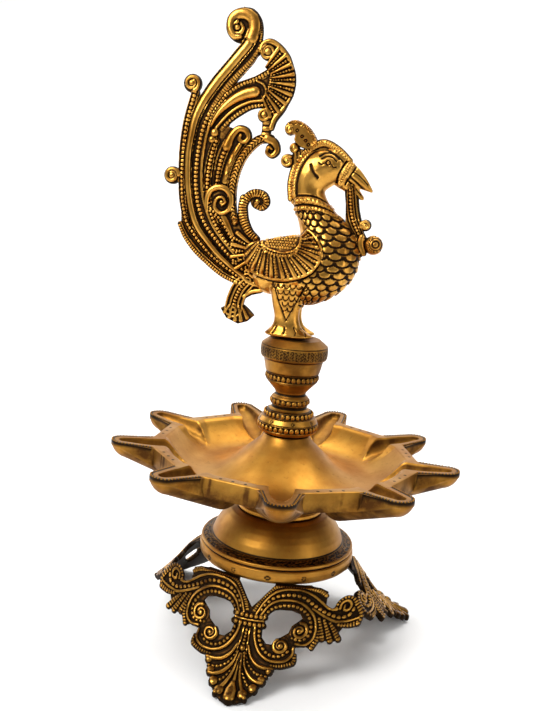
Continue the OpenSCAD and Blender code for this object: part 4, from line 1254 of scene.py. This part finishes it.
    # Great round scroll in the middle
    c.disc((-64.5, 325), 10.3, 0.5)
    c.stroke([(-50, 293), (-57, 303), (-63.5, 311.5), (-70.5, 318)], [3, 4.5, 5, 5],
        [bead_row(0, 0.55, 1.5, 2.8)] + BORDERS, 0.5)
    c.stroke([(-73, 316), (-74, 324), (-71.5, 331), (-65, 334), (-58.5, 331.5), (-55.4, 325),
        (-57.4, 318), (-62.8, 315.4), (-67.6, 319.2), (-66.8, 325), (-62.6, 327), (-60, 323.6),
        (-62.4, 321)], [2.5, 3.4, 4.2, 4.6, 4.6, 4.4, 4, 3.6, 3.2, 2.8, 2.4, 2.2, 2], [rib(0, 1, 2.0)],
        0.8)
    c.disc((-62.6, 323), 1.9, 0.9, 1.6)
    c.stroke([(-53, 300), (-57.5, 307.5), (-61.5, 314)], [3, 5, 5], [rib(0, 0.9, 1.6)], 0.5)
    # Curl behind the saddle, filed across all along
    c.stroke([(-35, 299), (-41, 304), (-45.4, 312), (-47, 320), (-46.5, 327)], [5, 6.5, 7.5, 7],
        [rope(0, 0.95, 1.7, 2.0)], 0.6)
    c.disc((-35.4, 326.6), 6.6, 0.3)
    c.stroke([(-46.5, 323), (-43.4, 329.4), (-38, 332), (-32, 330.6), (-29.8, 325.6), (-32.8, 321.6),
        (-37, 323), (-36.6, 326)], [6, 6, 6, 5.6, 5, 4.4, 3.4], [rope(0, 0.95, 1.8, 1.9)], 0.6)
    # Drooping feather with a flared foot
    c.stroke([(-39, 268), (-44, 262), (-47, 254), (-48, 247)], [12, 13.5, 13.5, 14],
        [bead_row(0, 0.24, 1.4, 2.4), rib(-0.42, 0.13, 1.2), rib(0.42, 0.13, 1.2),
        rib(-0.88, 0.14, 1.3), rib(0.88, 0.14, 1.3)], 0.5)
    c.patch([(-58, 246), (-52, 249.5), (-45, 248.5), (-40, 250), (-36, 247), (-32, 243), (-37, 238),
        (-44, 235.5), (-53, 239)], 0.9)
    for x, low in ((-54.5, 243.5), (-50.5, 240), (-46, 238), (-41.5, 238.5), (-37, 241)):
        c.stroke([(-47 + (x + 47) * 0.55, 249), (x, low)], [1.5, 3.4], [rib(0, 0.85, 1.1)], 0.9, 2)
    # Short ribs where the tail leaves the back
    for k in range(9):
        angle = math.radians(146 + k * 12)
        reach = 22 if k < 7 else 16
        steps = (6, reach / 2 + 3, reach)
        ends = [(-31 + r * math.cos(angle), 290 + r * math.sin(angle)) for r in steps]
        c.stroke(ends, [2, 4.2], [bead_row(0, 0.6, 1.2, 2.1) if k % 2 else rib(0, 0.8, 1.9)], 0.6, 2)
    return c


def in_bird_plane(x, z, h):
    return np.stack([x, -h, z], -1)


tail = draw_tail().mesh(in_bird_plane, 3.4)
make_piece("tail_casting", tail, CAST, "finial", ["bird_tail"])

# ---------------------------------------------------------------- bird

SOFT_BALL = ball(20, 12)[0]


def hull(points):
    """Convex hull as (points, faces)."""
    work = bmesh.new()
    for point in points:
        work.verts.new(point)
    made = bmesh.ops.convex_hull(work, input=work.verts)
    loose = {v for v in made["geom_interior"] + made["geom_unused"] if isinstance(v, bmesh.types.BMVert)}
    bmesh.ops.delete(work, geom=list(loose), context="VERTS")
    work.verts.index_update()
    out = np.array([v.co for v in work.verts]), [tuple(v.index for v in f.verts) for f in work.faces]
    work.free()
    return out


def blob_chain(blobs, steps=4):
    """Hulls between neighbours of a smooth run of ellipsoids, each (centre, radii) in one row."""
    rows = curve_through(blobs, steps)
    balls = [SOFT_BALL * row[3:] + row[:3] for row in rows]
    return [hull(np.vstack(pair)) for pair in zip(balls, balls[1:])]


def fused(parts, voxel, rounds):
    """One smooth skin round overlapping solids: points, quads and normals."""
    points, faces = joined(parts)
    mesh = bpy.data.meshes.new("rough")
    mesh.from_pydata([tuple(p) for p in points], [], faces)
    rough = bpy.data.objects.new("rough", mesh)
    scene_objects.link(rough)
    remesh = rough.modifiers.new("skin", "REMESH")
    remesh.mode = "VOXEL"
    remesh.voxel_size = voxel
    skin = bpy.data.meshes.new_from_object(rough.evaluated_get(bpy.context.evaluated_depsgraph_get()))
    bpy.data.objects.remove(rough)
    bpy.data.meshes.remove(mesh)
    n = len(skin.vertices)
    place = np.empty(n * 3)
    skin.vertices.foreach_get("co", place)
    place = place.reshape(-1, 3)
    edges = np.empty(len(skin.edges) * 2, int)
    skin.edges.foreach_get("vertices", edges)
    a, b = edges.reshape(-1, 2).T
    count = np.bincount(np.concatenate([a, b]), minlength=n)[:, None]
    for _ in range(rounds):
        total = np.zeros_like(place)
        for k in range(3):
            total[:, k] = np.bincount(a, place[b, k], n) + np.bincount(b, place[a, k], n)
        place = 0.4 * place + 0.6 * total / count
    skin.vertices.foreach_set("co", place.ravel())
    skin.update()
    normals = np.array([v.vector for v in skin.vertex_normals])
    quads = np.array([tuple(f.vertices) for f in skin.polygons])
    bpy.data.meshes.remove(skin)
    return place, quads, normals


def body_solids():
    parts = blob_chain([
        (-32, 0, 284, 8, 8, 13), (-24, 0, 278.6, 12, 12, 18.4), (-12, 0, 281, 17, 17.5, 20),
        (4, 0, 281, 22.5, 20, 25.5), (16, 0, 288, 24, 19.5, 22.5), (17, 0, 302, 20.5, 16.5, 15),
        (9.5, 0, 316, 15.5, 12.8, 10), (2, 0, 328, 13, 11.2, 8), (-0.5, 0, 339, 12.2, 10.6, 8),
        (4.6, 0, 350.6, 16, 11.4, 13.5), (13, 0, 355, 14.5, 11, 12.6)
    ])
    parts += blob_chain([(20, 0, 353.5, 9, 8, 9.4), (29, 0, 350.4, 6.6, 5.6, 7.2),
        (37, 0, 345.6, 4.0, 3.5, 4.7), (44.6, 0, 340, 1.0, 0.9, 1.2)])
    parts += blob_chain([(23, 0, 345, 6, 5, 5), (31, 0, 340, 3.8, 3.2, 3.8),
        (38.4, 0, 334.6, 1.5, 1.4, 1.7)])
    for side in (1, -1):
        parts += blob_chain([(-30, side * 10, 288, 12, 4, 10), (-17, side * 14.6, 288, 15, 4.2, 14),
                             (-2, side * 17.4, 288, 14, 4.4, 17)], 3)
        parts += blob_chain([(-8, side * 8, 266, 13, 9, 9), (-8, side * 7.4, 255, 10.6, 7.4, 6),
            (-7, side * 7, 245, 9.2, 6.4, 6), (-6.5, side * 7, 238, 11, 6.8, 4),
            (-5.5, side * 7.4, 234.6, 15, 8.2, 3.2), (-4.6, side * 7.6, 232.8, 18, 9.2, 2.9)], 3)
    return parts


def draw_body():
    """Marks struck into the bird's sides."""
    c = Casting((-50, 226), (48, 376), 0.35)
    c.cover[:] = 1
    saddle = curve_through([(-31, 300), (-30, 293.5), (-24, 290), (-15, 288.6), (-8, 290.6), (-4, 296),
        (-3.4, 303)], 10)
    wing = curve_through([
        (-46, 291), (-42, 280), (-36, 274.6), (-28, 271.6), (-19, 270), (-9, 270.4), (0, 273.4), (7, 278.4),
        (11.4, 286), (11, 295), (6, 303.4), (0, 308.4)
    ], 10)
    count = 25
    for k in range(count):
        share = (k + 0.5) / count
        start = saddle[int(share * (len(saddle) - 1))]
        end = wing[int(share * (len(wing) - 1))]
        near, far = start + (end - start) * 0.16, start + (end - start) * 0.93
        marks = [bead_row(0, 0.75, 1.0, 2.0)] if k % 2 else [rib(0, 0.85, 1.3)]
        c.stroke([near, (near + far) / 2, far], [1.5, 3.0 if k % 2 else 3.6], marks, 0.1, 2)
    c.stroke(wing[::6], [1.6, 2.2, 2.2, 1.8], [rib(0, 1, 1.0)], 0.3, 4)
    c.carve(wing[::6] + [[0.0, -1.9]], 1.3, 0.8)
    for row in range(6):
        z = 292.4 + row * 1.9
        for x in np.arange(-27 + (row % 2) * 0.95, -6.4, 1.9):
            if z > 290.5 + 0.035 * (x + 16) ** 2:
                c.disc((x, z), 0.85, 0.3, 0.55)
    c.stroke(saddle[::4], [1.2, 1.2], [rib(0, 1, 0.9)], 0.2, 4)
    c.stroke(saddle[::4] + [[0.0, -2.2]], [2.4, 2.4], [bead_row(0, 0.9, 1.2, 2.0)], 0.2, 4)
    # Bands round the neck
    c.stroke([(-15, 326.4), (-5, 327.8), (5, 327.6), (17, 324.4)], [4.6],
        [rope(0, 0.72, 1.6, 2.9, 0.6), rib(-0.92, 0.1, 0.7), rib(0.92, 0.1, 0.7)], 0.2)
    c.stroke([(-13, 321.6), (-2, 322.6), (10, 322), (24, 318.4)], [3.2], [rope(0, 0.9, 1.4, 2.6, 0.6)], 0.1)
    c.carve([(-14, 330.2), (-4, 331.4), (6, 331), (15, 328)], 1.6, 0.9)
    c.carve([(-14, 324), (-4, 325), (8, 324.6), (20, 321)], 1.3, 0.7)
    # Filed band over the head and down the nape
    band = [(25, 359.6), (18, 365), (8, 369.2), (0, 366), (-6, 359.6), (-10.6, 351), (-12.4, 341),
        (-11.6, 331)]
    c.stroke(band, [4.2, 4.6, 4.6, 4], [rope(0, 0.95, 1.4, 2.4)], 0.1)
    c.carve([(22, 357.4), (16, 362), (8, 365.6), (1.6, 363.2), (-3.4, 358), (-7.6, 350), (-9.4, 341),
        (-9, 332)], 1.5, 0.9)
    # Eye, brows, cheek and beak
    c.disc((11, 355), 0.9, 0.1, 0.5)
    for width, line in (
        (1.1, [(9.2, 355), (11, 356.7), (12.8, 355), (11, 353.3), (9.2, 355)]),
        (0.9, [(4.6, 354.6), (6.4, 353.4), (8.6, 354.8)]),
        (0.9, [(13.4, 354.2), (15, 352.2), (17.6, 352.8)]),
        (1.8, [(5.0, 359.6), (9, 362.4), (14, 362.2), (19, 358.6)]),
        (1.5, [(6.6, 357.6), (10, 359.6), (14, 359.2), (17, 356.8)]),
        (2.2, [(-1, 353), (1, 348), (5, 344.2)]),
        (1.5, [(28, 347.6), (34, 343.6), (40, 339.2)]),
        (1.1, [(27.4, 344.6), (33, 340.4), (37, 336.8)]),
        (1.0, [(30, 351.6), (36, 348.2), (41, 344)])
    ):
        c.carve(line, width, 0.8)
    c.stroke([(29.4, 360.6), (26.4, 354.6), (23.4, 348.4), (21.6, 343)], [6.2, 6.2, 5.4, 4.4],
        [bead_row(-0.55, 0.26, 0.7, 1.5), bead_row(0, 0.26, 0.7, 1.5), bead_row(0.55, 0.26, 0.7, 1.5)],
        0.5)
    c.carve([(25.6, 361), (22.4, 354.4), (19.6, 348.6), (18.6, 343.4)], 1.5, 1.0)
    c.carve([(33, 357.6), (30, 352), (27, 346.4), (25, 342.4)], 1.4, 1.0)
    # Scaled apron on the thigh
    for row, (z, half) in enumerate(((265, 11), (260.6, 8.6), (256.4, 6.6), (252.4, 4.6), (248.6, 2.6))):
        for x in np.arange(-half + (row % 2) * 2.2, half + 0.1, 4.4):
            c.carve([(-8 + x - 2.1, z + 1.5), (-8 + x - 1.4, z - 0.4), (-8 + x, z - 1.2),
                (-8 + x + 1.4, z - 0.4), (-8 + x + 2.1, z + 1.5)], 0.95, 0.6, 3)
    c.carve([(-20.6, 268), (-15, 254), (-8.6, 241)], 1.0, 0.7)
    c.carve([(3.6, 268), (-2.6, 254), (-8.6, 241)], 1.0, 0.7)
    for x in (-16.5, -9, -1, 6):
        c.carve([(x * 0.8 - 2, 236.6), (x, 233.8), (x * 1.1, 231)], 1.0, 0.6)
    return c


def scales(points):
    """Overlapping scales over breast and neck, as the height and the recess at each point. The dark
    crescent under each scale's lower edge is a painted shadow.
    """
    x, y, z = points.T
    middle = np.interp(z, [255, 282, 302, 318, 330], [4, 2, 4, 2, 0])
    around = np.arctan2(np.abs(y), x - middle) * 18.0
    pitch, across = 4.4, 6.2
    height, edge = np.zeros_like(x), np.zeros_like(x)
    done = np.zeros(len(x), bool)
    first = np.floor(z / pitch)
    for step in range(3):
        row = first - step + 1
        shift = np.where(row % 2 == 0, 0.0, 0.5) * across
        cell = (np.round((around - shift) / across)) * across + shift
        below = z - (row * pitch + 2.4)
        distance = np.hypot(around - cell, below * 1.1)
        hit = (distance < across * 0.58) & ~done
        share = distance / (across * 0.58)
        height[hit] = (0.3 + 1.0 * np.clip(0.5 - below / 6, 0, 1) + 0.25 * (1 - share**2))[hit]
        # Dark only below each scale's middle: a painted shadow under its lower edge, in a real groove.
        edge[hit] = (np.clip((share - 0.57) / 0.15, 0, 1) * np.clip(0.6 - below / 2.4, 0, 1))[hit]
        done |= hit
    height[~done] = 0
    edge[~done] = 1
    return height - 1.1 * edge, edge


def bird_skin():
    points, quads, normals = fused(body_solids(), voxel=0.57, rounds=5)
    x, y, z = points.T
    drawn = draw_body()
    side_on = np.clip((np.abs(normals[:, 1]) - 0.12) / 0.3, 0, 1)
    # Drawn as the camera sees it, so a mark slips by the tangents of the camera's yaw and pitch
    slip_x, slip_z = 0.155, 0.19
    u, v = x - slip_x * np.abs(y), z - slip_z * np.abs(y)
    height = drawn.sampled(drawn.height, u, v) * side_on
    recess = drawn.sampled(drawn.recesses(0.14), u, v) * side_on
    marked = np.abs(drawn.sampled(drawn.height, u, v)) * side_on > 0.12
    edge_x = np.interp(v, [250, 262, 270, 278, 286, 295, 303, 309, 320],
        [-2, 1, -4, 7, 11.6, 11.4, 7, 0, -9])
    scaled = np.clip(u - edge_x, 0, 1) * np.clip((v - 250) / 1.5, 0, 1) * np.clip(321.4 - v, 0, 1)
    scaled *= ~marked
    rise, edge = scales(points)
    height += rise * scaled
    # Scale recesses: patina, plus the painted shadow under each scale.
    recess = np.maximum(recess, (0.24 + 0.75 * edge) * scaled)
    return points + normals * height[:, None], quads, recess


make_piece("bird_casting", bird_skin(), CAST, "finial", ["bird_body"])


def draw_crest():
    c = Casting((-26, 324), (32, 388), 0.4)
    c.patch([(24, 361), (17, 367), (9, 370), (1, 367.6), (-6, 361), (-11, 352), (-12, 344), (-6, 346),
        (2, 356), (14, 360)], 0.1)
    leaf = [(-4, 365.4), (1, 366.6), (3, 371), (-1, 378), (-7, 383), (-14, 385), (-19.4, 382.6),
        (-21.2, 378), (-18.4, 374), (-13.6, 374.6), (-13.6, 370.6), (-9, 366.6)]
    smooth_leaf = curve_through(leaf + leaf[:1], 5)[:-1]
    c.patch(smooth_leaf, 2.3)
    leaf_middle = np.array([-8.5, 374.4])
    cuts, first, span = 30, 5, 34
    for k in range(cuts):
        at = smooth_leaf[int(k * span / cuts) + first]
        c.carve([at, at + 0.28 * (leaf_middle - at)], 0.75, 0.5, 2)
    c.scroll((-17.4, 378), 3.9, 60, 1.1, 2.2, 1.1, 1.9, 0.34)
    for x, z in ((-11.8, 377.6), (-8, 373.8), (-5.2, 371.2), (-3, 368.4)):
        c.carve([(x - 1, z), (x, z + 1), (x + 1, z), (x, z - 1), (x - 1, z)], 0.8, 0.8, 3)
    c.patch([(-13, 366), (-6, 365), (-3, 360), (-8, 352), (-12, 352), (-15, 358)], 0.5)
    c.scroll((-13, 365.4), 4.0, 90, 1.1, 2.3, 1.3, 0.8, 0.36)
    c.scroll((-17.2, 356.2), 5.3, 60, 1.3, 2.8, 1.5, 0.8, 0.3)
    for x in (-12, -9.4, -6.8):
        c.stroke([(x, 362.4), (x + 0.6, 357.6), (x + 1.8, 353.4)], [1.8, 2.4], [rib(0, 1, 1.2)], 0.6)
    c.stroke([(27, 360), (19, 366.4), (9, 370.8), (0.6, 368), (-6.4, 361.2), (-11.6, 352), (-13.6, 341),
        (-12.6, 330)], [4, 5, 5.4, 5.4, 5.4, 5, 4.4], [rope(0.15, 0.8, 1.0, 1.7)], 0.7)
    return c


def draw_garland():
    c = Casting((20, 286), (62, 348), 0.4)
    c.patch([(25, 341), (27, 330), (28, 319), (27, 311), (34, 300), (38, 291), (44, 295), (47, 303),
        (42, 311), (39.6, 319), (37.4, 326), (35.6, 336)], 0.5)
    c.stroke([(30, 341), (31.6, 330), (34, 320), (38, 312), (41, 307)], [6, 7, 7.4, 7, 5],
        [bead_row(-0.25, 0.36, 1.4, 2.4), rib(-0.86, 0.14, 1.1), rib(0.3, 0.14, 1.1), rib(0.86, 0.14, 1.1)],
        0.6)
    c.scroll((42.6, 316), 4.6, 200, -1.2, 2.6, 1.4, 0.8, 0.34)
    c.stroke([(36, 307), (37.4, 300), (41, 295)], [4, 5, 4], [rope(0, 1, 1.3, 2.2)], 0.6)
    c.stroke([(41, 308), (40.4, 302), (43.4, 296)], [4, 5, 4], [rib(0, 1, 1.8)], 0.6)
    return c


def knob():
    """Round bud with a ring eye struck into each side."""
    out, rounds = ball(72, 48)
    side = np.hypot(out[:, 0] - 0.28, out[:, 2] - 0.14)
    ring = np.exp(-((side - 0.34) / 0.09) ** 2) + 0.8 * np.exp(-((side - 0.62) / 0.06) ** 2)
    dots = np.exp(-((side - 0.8) / 0.07) ** 2) * (0.5 + 0.5 * np.cos(14 * np.arctan2(out[:, 2], out[:, 0])))
    mark = np.clip(ring + dots, 0, 1)
    return out * [7, 7, 7] * (1 - 0.07 * mark[:, None]) + [49.5, 0, 302.5], rounds, mark


crest = draw_crest().mesh(in_bird_plane, 6.4, offset=0.12)
make_piece("crest_casting", crest, CAST, "finial", ["bird_crest"])
strap, bud = draw_garland().mesh(in_bird_plane, 6.0, offset=0.2), knob()
garland = *joined([strap[:2], bud[:2]]), np.concatenate([strap[2], bud[2]])
make_piece("garland_casting", garland, CAST, "finial", ["bird_garland"])
